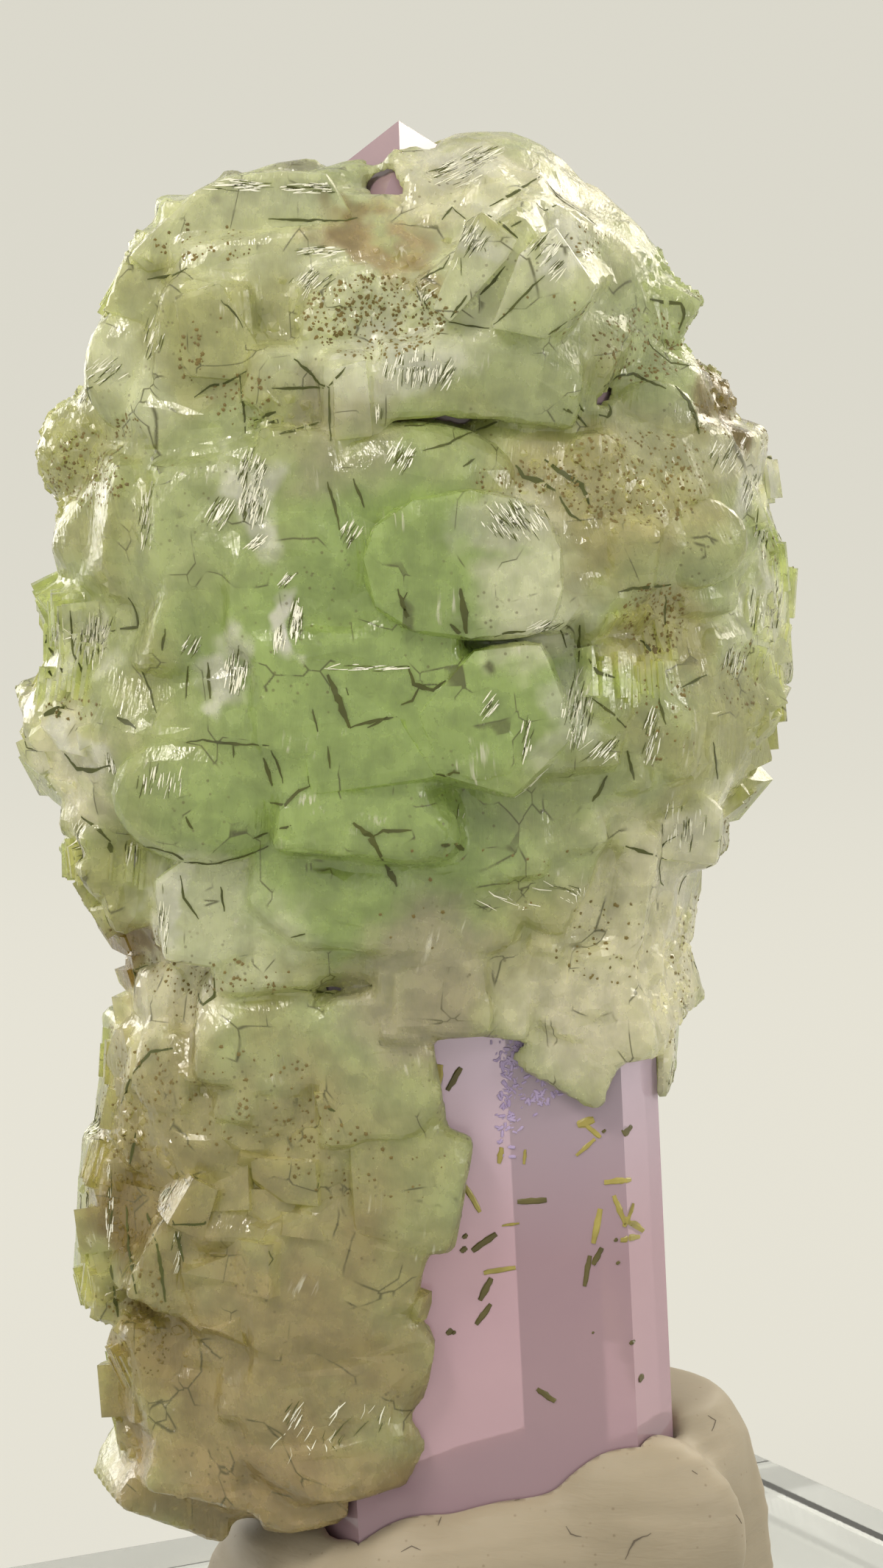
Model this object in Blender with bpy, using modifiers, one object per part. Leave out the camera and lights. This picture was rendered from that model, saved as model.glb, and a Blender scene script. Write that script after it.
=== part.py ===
"""An amethyst prism overgrown by green prehnite, stuck upright in putty on a clear display plate.

Units are millimetres until a mesh is made, +Z is up, and the camera side is -Y.
The origin is the middle of the plate's underside.
"""

import math
import random

import bmesh
import bpy
from mathutils import Euler, Matrix, Vector

MM = 0.001
GAP = 0.3
SEED = 11

# Display plate
PLATE_SIDE = 76.0
PLATE_THICKNESS = 10.0
PLATE_EDGE_BEVEL = 0.8
PLATE_YAW = 30.0

# The specimen's own axis, seen from above, behind and left of the plate's middle
SPECIMEN_X = -11.6
SPECIMEN_Y = 7.1

# Amethyst prism: how far each side face and each end face is from the prism's axis or its apex
PRISM_FOOT = (3.2, 0.0, 30.0)
PRISM_LEAN = -2.9
PRISM_BELOW = 15.5
PRISM_TOP = 87.4
PRISM_SIDES = {-90: 11.5, -30: 16.1, 30: 9.0, 90: 10.2, 150: 11.6, 210: 11.8}
END_SLOPE = 50.0
END_FACES = {-90: 0.0, 30: 0.0, 150: 0.6, -30: 1.6, 90: 3.0, 210: 2.2}

# Putty
PUTTY_TOP = 27.6
PUTTY_CENTRE = (4.8, 0.0)
SEAT_SCALE = 1.035

# Crust: how far it reaches left and right of the specimen's axis at each height
OUTLINE = (
    (18.0, -17.0, -2.0),
    (22.0, -20.5, 0.0),
    (35.0, -21.5, 1.5),
    (47.0, -21.0, 17.0),
    (53.0, -18.0, 18.5),
    (60.0, -21.0, 18.5),
    (65.0, -22.5, 21.5),
    (72.0, -26.0, 25.0),
    (80.0, -25.0, 25.0),
    (87.0, -22.5, 23.8),
    (92.5, -24.5, 21.5),
    (97.0, -21.5, 18.5),
    (104.0, -19.0, 14.5),
    (110.0, -13.0, 9.7),
    (113.0, -5.0, 6.0),
)
CORE_SWELL = 1.05
FILL_TRIES = 1500
FILL_SPACING = 2.4
WINDOW_TOP = 53.0
WINDOW_LEFT = 0.5


def clear_scene():
    for obj in list(bpy.data.objects):
        bpy.data.objects.remove(obj, do_unlink=True)


def new_collection(name):
    collection = bpy.data.collections.new(name)
    bpy.context.scene.collection.children.link(collection)
    return collection


def principled(name, colour, roughness, transmission=0.0, ior=1.5):
    material = bpy.data.materials.new(name)
    material.use_nodes = True
    shader = material.node_tree.nodes["Principled BSDF"]
    shader.inputs["Base Color"].default_value = (*colour, 1.0)
    shader.inputs["Roughness"].default_value = roughness
    shader.inputs["Metallic"].default_value = 0.0
    shader.inputs["Transmission Weight"].default_value = transmission
    shader.inputs["IOR"].default_value = ior
    return material


def object_from(bm, name, collection, material=None):
    """Makes the object that holds this mesh, given in millimetres, and frees the bmesh."""
    bmesh.ops.scale(bm, vec=(MM, MM, MM), verts=bm.verts)
    bmesh.ops.recalc_face_normals(bm, faces=bm.faces)
    mesh = bpy.data.meshes.new(name)
    bm.to_mesh(mesh)
    bm.free()
    obj = bpy.data.objects.new(name, mesh)
    collection.objects.link(obj)
    if material:
        mesh.materials.append(material)
    else:
        obj.hide_render = True
        obj.display_type = "WIRE"
    return obj


def boolean(obj, name, operation, cutter):
    """Adds a Boolean modifier. The cutter is an object, or a collection of them."""
    modifier = obj.modifiers.new(name, "BOOLEAN")
    modifier.operation = operation
    modifier.solver = "EXACT"
    if isinstance(cutter, bpy.types.Collection):
        modifier.operand_type = "COLLECTION"
        modifier.collection = cutter
    else:
        modifier.object = cutter
    return modifier


def placed(at, turn=(0, 0, 0)):
    return Matrix.Translation(Vector(at)) @ Euler([math.radians(a) for a in turn]).to_matrix().to_4x4()


def slice_off(bm, point, normal):
    """Cuts away what lies beyond the plane and closes the cut with a flat face."""
    cut = bmesh.ops.bisect_plane(
        bm,
        geom=bm.verts[:] + bm.edges[:] + bm.faces[:],
        plane_co=point,
        plane_no=normal,
        clear_outer=True,
    )
    edges = [item for item in cut["geom_cut"] if isinstance(item, bmesh.types.BMEdge)]
    bmesh.ops.holes_fill(bm, edges=edges)


def amethyst_shape(grow):
    """The prism with its pyramid end, each face moved out by `grow`."""
    bm = bmesh.new()
    bmesh.ops.create_cube(bm, size=200.0)
    slice_off(bm, (0, 0, -PRISM_BELOW - grow), (0, 0, -1))
    for angle, distance in PRISM_SIDES.items():
        out = Vector((math.cos(math.radians(angle)), math.sin(math.radians(angle)), 0))
        slice_off(bm, out * (distance + grow), out)
    for angle, lower in END_FACES.items():
        tilt = math.radians(END_SLOPE)
        around = math.radians(angle)
        out = Vector((math.sin(tilt) * math.cos(around), math.sin(tilt) * math.sin(around), math.cos(tilt)))
        slice_off(bm, Vector((0, 0, PRISM_TOP)) + out * (grow - lower), out)
    bm.transform(placed(PRISM_FOOT, (0, PRISM_LEAN, 0)))
    return bm


def putty_shape():
    """A hand-pressed lump, low at the left and heaped up against the prism at the right."""
    rings = (
        (PLATE_THICKNESS - 4.0, 20.5, 15.5, 0.0),
        (PLATE_THICKNESS + 4.0, 20.8, 16.5, 0.0),
        (PLATE_THICKNESS + 9.5, 18.6, 15.0, 1.6),
        (PUTTY_TOP - 3.6, 12.5, 12.0, 7.4),
        (PUTTY_TOP, 7.0, 8.0, 9.6),
    )
    sides = 10
    bm = bmesh.new()
    levels = []
    for height, wide, deep, shift in rings:
        ring = []
        for i in range(sides):
            angle = 2 * math.pi * i / sides
            swell = 1.0 + 0.05 * math.sin(3 * angle + height)
            x = PUTTY_CENTRE[0] + shift + wide * swell * math.cos(angle)
            y = PUTTY_CENTRE[1] + deep * swell * math.sin(angle)
            ring.append(bm.verts.new((x, y, height)))
        levels.append(ring)
    for lower, upper in zip(levels, levels[1:]):
        for i in range(sides):
            j = (i + 1) % sides
            bm.faces.new((lower[i], lower[j], upper[j], upper[i]))
    bm.faces.new(levels[0])
    bm.faces.new(levels[-1])
    bmesh.ops.subdivide_edges(bm, edges=bm.edges[:], cuts=1, use_grid_fill=True, smooth=1.0)
    bmesh.ops.smooth_vert(bm, verts=bm.verts[:], factor=0.5, use_axis_x=True, use_axis_y=True, use_axis_z=True)
    slice_off(bm, (0, 0, PLATE_THICKNESS + GAP), (0, 0, -1))
    return bm


class Growth:
    """Crystals that will be fused into the crust, each a separate closed shape."""

    def __init__(self, collection, parent):
        self.collection = collection
        self.parent = parent
        self.random = random.Random(SEED)

    def add(self, bm, at, turn):
        number = len(self.collection.objects)
        shape = object_from(bm, f"growth_{number:03d}", self.collection)
        shape.parent = self.parent
        shape.location = Vector(at) * MM
        shape.rotation_euler = [math.radians(a) for a in turn]

    def block(self, at, size, turn=(0, 0, 0), cuts=5, taper=0.12):
        """A block or tablet with flat faces, narrowed a little upwards, with some corners cut."""
        bm = bmesh.new()
        bmesh.ops.create_cube(bm, size=1.0)
        lean = self.random.uniform(-0.1, 0.1)
        for vert in bm.verts:
            narrow = 1.0 - taper * (vert.co.z + 0.5)
            vert.co.x = vert.co.x * narrow + lean * vert.co.z
            vert.co.y = vert.co.y * narrow
        for _ in range(cuts):
            signs = Vector([self.random.choice((-1, 1)) * self.random.uniform(0.15, 1.0) for _ in range(3)])
            out = signs.normalized()
            reach = max(out.dot(vert.co) for vert in bm.verts)
            slice_off(bm, out * reach * (1.0 - self.random.uniform(0.12, 0.24)), out)
        bmesh.ops.scale(bm, vec=size, verts=bm.verts)
        self.add(bm, at, turn)

    def dome(self, at, size, turn=(0, 0, 0), detail=2):
        """A rounded lump made of many small flat faces."""
        bm = bmesh.new()
        bmesh.ops.create_icosphere(bm, subdivisions=detail, radius=0.5)
        bmesh.ops.scale(bm, vec=size, verts=bm.verts)
        self.add(bm, at, turn)

    def book(self, at, leaf, count, pitch, fan=0.0, turn=(0, 0, 0)):
        """Tablets side by side like the leaves of a half-open book, stepped in height."""
        whole = placed(at, turn)
        for i in range(count):
            offset = i - (count - 1) / 2
            step = 0.08 * leaf[2] * (-1) ** i
            local = placed((offset * pitch, 0, step), (0, offset * fan, 0))
            pose = whole @ local
            angles = [math.degrees(a) for a in pose.to_euler()]
            self.block(pose.translation, leaf, angles, cuts=2)


def grow_core(growth):
    """The body of the crust: fused lumps that follow the prism from its foot to its tip."""
    lumps = (
        ((-2.0, 0, 100), (33, 26, 21)),
        ((6.0, 1, 99), (24, 27, 23)),
        ((-10.5, -0.5, 95), (22, 25, 22)),
        ((-5, -0.5, 86), (37, 33, 25)),
        ((9, -0.5, 87), (29, 31, 25)),
        ((-7, -0.5, 74), (37, 33, 23)),
        ((9, -0.5, 75), (30, 31, 23)),
        ((-3, 0, 64), (36, 31, 21)),
        ((9, 0.5, 60), (18, 28, 23)),
        ((-8.5, 0, 50), (22, 27, 22)),
        ((-9.0, -0.5, 38), (22, 26, 26)),
        ((-10, -1, 28), (20, 24, 18)),
    )
    for at, size in lumps:
        growth.dome(at, Vector(size) * CORE_SWELL)
    return lumps


def grow_top(growth):
    """The flat layered slab on the left of the tip, and the big rounded lobe on its right."""
    growth.block((-10.2, -1.5, 106.4), (13.0, 16, 6.0), (0, -9, 6))
    growth.block((-14.6, -3.5, 103.6), (7.5, 12, 6.0), (0, 10, -6))
    growth.block((-9.5, -8.5, 104.2), (11.5, 6, 4.6), (4, -6, 0))
    growth.block((-3.6, -3.5, 105.2), (8, 12, 7.5), (0, 4, 10))
    growth.block((1.4, -5.0, 104.6), (7, 9, 8.5), (12, 14, 0))
    growth.dome((5.2, 0.5, 106.0), (15, 17, 14), (0, 12, 0), detail=3)
    growth.block((7.4, -5.0, 106.6), (9.5, 8, 6.0), (10, 30, 0))
    growth.dome((11.6, 0, 103.0), (9, 13, 11), (0, 25, 0))


def grow_fan(growth):
    """Three tablets leaning to the upper right like open leaves, with a smooth face below them."""
    growth.book((6.6, -11.4, 102.8), (2.9, 8.5, 8.0), 3, 2.7, fan=-5, turn=(14, 47, 0))
    growth.block((5.6, -11.6, 98.4), (12, 8, 5.0), (18, 8, 0))
    growth.block((1.0, -12.4, 97.8), (6.5, 7, 4.6), (8, -4, 6))
    growth.block((-3.6, -9.8, 101.4), (8.0, 8, 6.5), (10, -8, 10), cuts=9)
    growth.block((0.8, -10.2, 101.8), (6.5, 7, 6.0), (4, 22, -12), cuts=9)
    growth.block((-3.4, -12.3, 95.8), (3.8, 7, 6.6), (4, -6, 0))
    growth.block((-8.0, -11.6, 97.4), (5.2, 6, 4.4), (6, 4, 12))
    growth.block((-12.4, -9.4, 100.4), (6.4, 7.5, 6.8), (8, 3, -14))


def grow_left(growth):
    """The left flank: a dome, a warty nodule, stepped blocks and leaves seen on edge."""
    growth.dome((-17.2, -2.6, 97.4), (8.5, 14, 11.5), (0, 10, 0))
    growth.dome((-20.6, -1.0, 91.8), (8.6, 10, 8.2))
    growth.dome((-22.2, 1.0, 93.0), (4.6, 7, 4.6))
    growth.block((-17.4, -7.4, 87.6), (7, 8, 8.5), (6, 4, 18))
    growth.block((-12.6, -10.6, 88.0), (9, 8, 8.5), (4, -8, 10))
    growth.block((-12.6, -11.6, 81.6), (9.0, 7, 6.6), (2, 6, 14))
    growth.book((-19.4, -1.5, 79.2), (2.0, 13, 7.6), 5, 1.6, fan=5, turn=(0, -8, 14))
    growth.block((-17.2, -7.0, 80.6), (6.5, 8, 7.0), (0, 8, 24))
    growth.book((-20.6, -1.0, 72.4), (2.4, 11, 7.0), 4, 2.0, fan=6, turn=(10, -14, 10))
    growth.block((-21.6, -5.4, 72.6), (4.4, 4.4, 4.4), (24, 18, 38))
    growth.block((-19.4, -7.2, 69.4), (5.5, 6, 5.0), (-12, 10, 26))
    growth.block((-18.0, -6.4, 75.6), (5.5, 6.5, 4.6), (10, -14, 30))
    growth.book((-18.4, -4.0, 65.4), (2.2, 12, 7.0), 4, 1.9, fan=6, turn=(0, 62, 12))
    growth.block((-18.0, -0.5, 60.8), (7.2, 10, 4.0), (0, 42, 4), cuts=3)


def grow_middle(growth):
    """The clear green heart: rounded blocks the size of a fingertip, stepped like brickwork."""
    growth.block((-7.0, -12.8, 91.0), (6.0, 8, 6.5), (4, 5, 0), cuts=9)
    growth.dome((1.2, -9.6, 88.6), (13.5, 15, 13), (0, -8, 0), detail=3)
    growth.block((6.2, -12.6, 85.2), (8.0, 9.5, 7.6), (4, -7, 12), cuts=9)
    growth.block((5.0, -10.6, 89.4), (8.0, 9, 5.0), (24, 18, 10), cuts=9)
    growth.block((-7.2, -12.6, 84.0), (9.0, 9, 8.5), (6, 2, 3), cuts=9)
    growth.block((-5.4, -13.4, 77.8), (9.5, 9, 7.2), (2, -3, 4), cuts=9)
    growth.block((0.8, -13.2, 80.6), (6.0, 8, 6.0), (0, 4, -6), cuts=9)
    growth.block((3.0, -13.0, 75.8), (10, 9, 8.0), (-4, 5, -8), cuts=9)
    growth.dome((8.0, -10.0, 77.6), (9, 11, 10), (0, 20, 0))
    growth.block((-2.4, -12.8, 70.6), (12, 9, 8.6), (-8, 6, 2), cuts=9)
    growth.dome((-12.4, -8.8, 70.6), (14, 15, 10.5), (0, 4, 0), detail=3)
    growth.dome((-11.0, -10.0, 76.0), (10, 11, 7.0), (0, -6, 0))
    growth.block((5.2, -10.6, 68.0), (9, 8, 8.0), (-10, -12, -10))
    growth.block((-5.0, -11.2, 64.2), (11, 8, 8.0), (-8, 4, 4))
    growth.block((1.6, -11.4, 60.4), (7, 6.5, 12), (-4, -4, 2))
    growth.block((-13.0, -9.6, 63.2), (6.4, 8, 6.8), (-4, 3, 12))
    growth.block((-9.0, -10.2, 59.6), (8, 7, 5.0), (-10, -6, 0))


def grow_right(growth):
    """The right flank: a granular belt, a lens, rim tablets and a pointed lobe."""
    growth.dome((15.0, -3.6, 94.6), (11, 13, 10.5))
    growth.block((14.8, 0.5, 100.6), (6.5, 11, 7.5), (0, 34, 0))
    growth.dome((19.0, 0.5, 94.2), (6.0, 9, 7.0))
    growth.block((21.0, 0.5, 90.4), (5.6, 10, 6.5), (0, 12, -10))
    growth.block((10.4, -10.8, 90.4), (8.0, 6, 5.0), (6, 28, -8))
    growth.block((11.4, -8.4, 92.4), (10, 7, 4.6), (10, 24, -12))
    growth.dome((17.0, -4.4, 86.2), (12, 13, 8.5), (0, 8, -10))
    growth.block((21.6, 0.5, 85.2), (5.8, 12, 6.0), (0, -10, -12))
    growth.block((15.6, -6.2, 81.2), (6.0, 6.5, 6.0), (8, 20, -16))
    growth.block((11.6, -10.4, 82.0), (3.8, 6, 4.6), (4, -14, -8))
    growth.dome((12.2, -8.8, 77.6), (6.5, 9, 8.5), (0, 14, 0))
    growth.book((21.6, -0.5, 80.0), (1.8, 11, 6.6), 4, 1.5, fan=-6, turn=(0, 12, -20))
    growth.block((19.6, -1.5, 73.8), (8.5, 11, 7.0), (0, 32, -14))
    growth.block((16.0, -6.0, 73.6), (7, 7, 7.0), (6, -8, -24))
    growth.block((16.4, -3.6, 67.2), (9.0, 11, 6.0), (0, -6, -12))
    growth.block((14.8, -3.6, 62.4), (8.0, 11, 7.0), (0, 10, -16))
    growth.block((12.4, -8.4, 66.0), (7, 6, 6.5), (8, -12, -10))
    growth.block((14.0, -4.6, 57.0), (8.5, 10, 7.0), (4, -8, -20))
    growth.block((13.2, -9.8, 64.0), (6.5, 6, 8.5), (0, 8, -14))
    growth.block((12.8, -10.0, 56.4), (6.5, 5.5, 8.5), (0, -10, -12))
    growth.block((10.6, -8.0, 98.6), (7.0, 8, 6.5), (10, 20, -14))
    growth.block((15.4, -2.0, 52.6), (5.6, 12, 6.5), (0, 6, -6))
    growth.block((10.4, -9.8, 59.0), (8.0, 5.5, 8.5), (-8, 20, -14))
    growth.block((5.4, -12.0, 63.6), (6.0, 5, 6.5), (-6, 38, -2))
    growth.block((13.8, -10.6, 87.0), (6.5, 6, 5.5), (0, 12, -18))
    growth.block((18.6, -7.6, 90.4), (6.0, 6, 6.0), (0, -12, -30))
    growth.block((18.8, -7.0, 78.2), (5.5, 6, 6.0), (0, 20, -28))
    growth.block((12.4, -11.6, 73.6), (6.5, 5.5, 6.5), (0, -12, -14))
    growth.block((9.4, -12.2, 69.6), (6.5, 5, 6.5), (-4, -18, -8))
    growth.block((13.4, -10.0, 69.8), (5.5, 6, 5.0), (-4, 16, -14))
    growth.block((9.2, -12.0, 65.4), (5.5, 5, 6.5), (0, 24, -4))
    growth.block((5.6, -11.9, 58.0), (5.0, 3.6, 7.0), (0, 8, 0))
    growth.block((11.4, -10.2, 53.4), (6.5, 4.6, 6.0), (-4, 30, -6))


def grow_lower(growth):
    """The brownish lower left lobe, down to its broken foot."""
    growth.block((-15.0, -5.4, 55.4), (6.5, 9, 6.0), (0, -12, 16))
    growth.block((-9.6, -10.6, 54.0), (9.0, 7, 6.5), (-6, 8, 4))
    growth.block((-2.0, -11.8, 52.4), (8.0, 5.5, 9.5), (-3, -8, 0))
    growth.book((-16.6, -2.0, 47.6), (2.2, 12, 9.0), 4, 1.8, fan=5, turn=(0, 12, 14))
    growth.dome((-12.6, -7.4, 47.4), (11, 12, 11))
    growth.dome((-5.2, -9.6, 46.4), (11, 9, 12), (0, -8, 0))
    growth.block((1.2, -12.0, 44.2), (5.2, 4.6, 7.6), (-2, 14, -6))
    growth.book((-18.0, -1.5, 38.4), (2.2, 12, 11.0), 4, 1.9, fan=-3, turn=(0, -2, 12))
    growth.block((-13.6, -9.0, 39.6), (8.0, 7, 9.0), (4, 22, 12))
    growth.block((-6.6, -11.6, 37.8), (9.0, 5.5, 9.5), (2, -16, 4))
    growth.block((-1.6, -11.4, 38.6), (5.6, 5, 6.6), (0, 20, -6))
    growth.block((-15.4, -6.8, 31.2), (8.5, 9, 7.0), (-4, -10, 20))
    growth.block((-4.6, -9.0, 31.4), (12.5, 10, 11.0), (2, 6, 4), cuts=10)
    growth.block((-4.8, -8.4, 27.0), (12.5, 11, 9.0), (-6, -8, 0), cuts=10)
    growth.block((-12.4, -8.2, 26.0), (10, 8, 8.0), (-6, 14, 10))
    growth.block((-15.6, -3.4, 23.2), (8.0, 10, 7.6), (0, 24, 16))
    growth.block((-6.4, -7.0, 23.6), (9, 9, 7.0), (-8, -10, 4))


def reach_at(z):
    """How far left and right the crust may reach at this height."""
    for (low, left, right), (high, next_left, next_right) in zip(OUTLINE, OUTLINE[1:]):
        if z <= high:
            share = max(0.0, (z - low) / (high - low))
            return left + share * (next_left - left), right + share * (next_right - right)
    return OUTLINE[-1][1:]


def grow_fill(growth, lumps):
    """Smaller crystals all round, the sides and back included, standing out of the core."""
    rng = growth.random
    kept = []
    for _ in range(FILL_TRIES):
        at, size = lumps[rng.randrange(len(lumps))]
        out = Vector([rng.gauss(0, 1) for _ in range(3)]).normalized()
        spot = Vector(at) + Vector(o * s * 0.5 for o, s in zip(out, size))
        front = spot.y < -6.0
        width = rng.uniform(3.8, 5.6) if front else rng.uniform(5.0, 8.5)
        left, right = reach_at(spot.z)
        spot.x = min(max(spot.x, left + 0.55 * width), right - 0.55 * width)
        buried = any(
            sum(((s - a) / (0.5 * w)) ** 2 for s, a, w in zip(spot, other, wide)) < 0.72
            for other, wide in lumps
        )
        crowded = any((spot - other).length < FILL_SPACING + 0.3 * width for other in kept)
        in_window = spot.z < WINDOW_TOP + 3.0 and spot.x > WINDOW_LEFT - width
        placed_by_hand = front and (spot.x < 10.0 or spot.z > 96.0) and spot.z > 52.0
        if buried or crowded or in_window or placed_by_hand or spot.z < 24:
            continue
        kept.append(spot)
        size = (width, width * rng.uniform(0.5, 1.1), width * rng.uniform(0.7, 1.2))
        turn = out.to_track_quat("Z", "X").to_euler()
        angles = [math.degrees(a) + rng.uniform(-18, 18) for a in turn]
        growth.block(spot - out * 0.3 * width, size, angles, cuts=3)


def build():
    clear_scene()
    parts = new_collection("amethyst_specimen")
    helpers = new_collection("cutters")
    growth_shapes = new_collection("crust_growth")

    lilac_quartz = principled("lilac_quartz", (0.66, 0.50, 0.68), 0.04, transmission=0.95, ior=1.544)
    green_prehnite = principled("green_prehnite", (0.42, 0.52, 0.22), 0.25, transmission=0.3, ior=1.62)
    white_putty = principled("white_putty", (0.74, 0.70, 0.62), 0.62)
    clear_acrylic = principled("clear_acrylic", (0.95, 0.96, 0.96), 0.03, transmission=1.0, ior=1.49)

    specimen = bpy.data.objects.new("specimen_axis", None)
    specimen.location = (SPECIMEN_X * MM, SPECIMEN_Y * MM, 0)
    parts.objects.link(specimen)

    bm = bmesh.new()
    bmesh.ops.create_cube(bm, size=1.0)
    bmesh.ops.scale(bm, vec=(PLATE_SIDE, PLATE_SIDE, PLATE_THICKNESS), verts=bm.verts)
    plate = object_from(bm, "display_plate", parts, clear_acrylic)
    plate.location.z = PLATE_THICKNESS / 2 * MM
    plate.rotation_euler.z = math.radians(PLATE_YAW)
    bevel = plate.modifiers.new("polished_edges", "BEVEL")
    bevel.width = PLATE_EDGE_BEVEL * MM
    bevel.segments = 2

    amethyst = object_from(amethyst_shape(0.0), "amethyst_crystal", parts, lilac_quartz)
    socket = object_from(amethyst_shape(GAP), "amethyst_socket", helpers)

    putty = object_from(putty_shape(), "mounting_putty", parts, white_putty)
    boolean(putty, "amethyst_socket", "DIFFERENCE", socket)
    bm = putty_shape()
    middle = Vector((PUTTY_CENTRE[0], PUTTY_CENTRE[1], PLATE_THICKNESS))
    grown = Matrix.Translation(middle) @ Matrix.Scale(SEAT_SCALE, 4) @ Matrix.Translation(-middle)
    bm.transform(grown)
    seat = object_from(bm, "putty_seat", helpers)

    growth = Growth(growth_shapes, specimen)
    lumps = grow_core(growth)
    for grow in (grow_top, grow_fan, grow_left, grow_middle, grow_right, grow_lower):
        grow(growth)
    grow_fill(growth, lumps)

    first = growth_shapes.objects[0]
    growth_shapes.objects.unlink(first)
    parts.objects.link(first)
    first.name = "prehnite_crust"
    first.data.materials.append(green_prehnite)
    first.hide_render = False
    first.display_type = "TEXTURED"
    boolean(first, "grown_together", "UNION", growth_shapes)
    boolean(first, "round_amethyst", "DIFFERENCE", socket)
    boolean(first, "on_putty", "DIFFERENCE", seat)

    for obj in (amethyst, socket, putty, seat):
        obj.parent = specimen


build()
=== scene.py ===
"""An amethyst prism under a crust of green prehnite, stuck upright in putty on a clear plate.

Every length is in metres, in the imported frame: +Z is up and the camera side is -Y.
"""

import math
import random

import bmesh
import bpy
import numpy as np
from mathutils import Matrix, Vector, noise
from mathutils.bvhtree import BVHTree


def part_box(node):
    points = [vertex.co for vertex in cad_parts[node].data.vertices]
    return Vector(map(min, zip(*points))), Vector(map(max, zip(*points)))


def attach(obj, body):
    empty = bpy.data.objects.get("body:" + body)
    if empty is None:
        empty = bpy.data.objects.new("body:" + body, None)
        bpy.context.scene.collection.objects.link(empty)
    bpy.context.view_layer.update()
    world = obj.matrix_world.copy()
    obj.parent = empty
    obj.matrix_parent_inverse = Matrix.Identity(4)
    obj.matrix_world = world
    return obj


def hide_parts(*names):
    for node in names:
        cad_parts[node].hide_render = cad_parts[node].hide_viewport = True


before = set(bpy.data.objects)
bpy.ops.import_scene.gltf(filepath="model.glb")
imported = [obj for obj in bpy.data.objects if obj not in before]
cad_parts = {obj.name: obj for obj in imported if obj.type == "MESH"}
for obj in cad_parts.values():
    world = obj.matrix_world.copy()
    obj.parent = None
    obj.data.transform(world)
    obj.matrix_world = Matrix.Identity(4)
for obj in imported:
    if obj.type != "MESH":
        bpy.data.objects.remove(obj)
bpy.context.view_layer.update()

# The setting: a pale seamless paper sweep that curves up behind, under soft lamps, seen from the
# photograph's own angle. The camera stands 300 mm from its aim and looks down by 8 degrees.
MM = 0.001
PHOTO_WIDTH = 1200
PHOTO_HEIGHT = 2132
FOCAL_PIXELS = 6000
SENSOR_HEIGHT = 24.0
AIM = Vector((-9.35, 7.1, 69.2)) * MM
DISTANCE = 300 * MM
ELEVATION = math.radians(8)
FLOOR_HALF = 1.6
SWEEP_START = 0.45
SWEEP_RADIUS = 0.35
SWEEP_TOP = 1.5
SWEEP_STEPS = 12
FLOOR_CLEARANCE = 0.2 * MM
PAPER_COLOUR = "4a4844"
PAPER_GLOW = 0.86
DAYLIGHT_COLOUR = "fbf8ef"
DAYLIGHT_STRENGTH = 0.82
LAMPS = (
    ("lamp_left_above", (-0.28, -0.26, 0.48), 0.13, 1.65, "fff7ea"),
    ("lamp_right", (0.42, -0.20, 0.22), 0.07, 0.5, "fffaf2"),
    ("lamp_behind_right", (0.26, 0.34, 0.30), 0.22, 0.9, "fff5e2"),
    ("lamp_behind_left", (-0.30, 0.32, 0.16), 0.22, 0.7, "fffaf0"),
)


def linear(hex_colour):
    """Turns an sRGB hex value such as 'dfdcd1' to linear red, green and blue."""
    channels = [int(hex_colour[i : i + 2], 16) / 255 for i in (0, 2, 4)]
    return [c / 12.92 if c <= 0.04045 else ((c + 0.055) / 1.055) ** 2.4 for c in channels]


def add_node(tree, kind, inputs=None, **settings):
    """Adds one node. Each input is a value, or another node's output socket to link from."""
    node = tree.nodes.new(kind)
    for name, value in settings.items():
        setattr(node, name, value)
    for key, value in (inputs or {}).items():
        socket = node.inputs[key]
        if isinstance(value, bpy.types.NodeSocket):
            tree.links.new(value, socket)
        elif isinstance(value, str) and socket.type == "RGBA":
            socket.default_value = (*linear(value), 1)
        else:
            socket.default_value = value
    return node


def new_material(name):
    """An empty material and the tree that holds its nodes."""
    material = bpy.data.materials.new(name)
    material.use_nodes = True
    material.node_tree.nodes.clear()
    return material, material.node_tree


def mesh_object(name, mesh, material):
    """Puts a finished mesh in the scene, at the origin, with one material."""
    obj = bpy.data.objects.new(name, mesh)
    bpy.context.scene.collection.objects.link(obj)
    mesh.materials.clear()
    mesh.materials.append(material)
    return obj


matt_paper, tree = new_material("matt_paper_sweep")
shader = add_node(
    tree,
    "ShaderNodeBsdfPrincipled",
    {
        "Base Color": PAPER_COLOUR,
        "Roughness": 0.9,
        "Emission Color": "dedcd0",
        "Emission Strength": PAPER_GLOW,
    },
)
add_node(tree, "ShaderNodeOutputMaterial", {"Surface": shader.outputs[0]})

profile = [(-FLOOR_HALF, 0.0)]
for step in range(SWEEP_STEPS + 1):
    angle = math.pi / 2 * step / SWEEP_STEPS
    profile.append(
        (SWEEP_START + SWEEP_RADIUS * math.sin(angle), SWEEP_RADIUS * (1 - math.cos(angle)))
    )
profile.append((SWEEP_START + SWEEP_RADIUS, SWEEP_TOP))
bm = bmesh.new()
rows = [
    [bm.verts.new((x, y, z - FLOOR_CLEARANCE)) for y, z in profile]
    for x in (-FLOOR_HALF, FLOOR_HALF)
]
for i in range(len(profile) - 1):
    bm.faces.new((rows[0][i], rows[1][i], rows[1][i + 1], rows[0][i + 1]))
mesh = bpy.data.meshes.new("paper_sweep")
bm.to_mesh(mesh)
bm.free()
mesh.shade_smooth()
mesh_object("paper_sweep", mesh, matt_paper)

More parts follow.
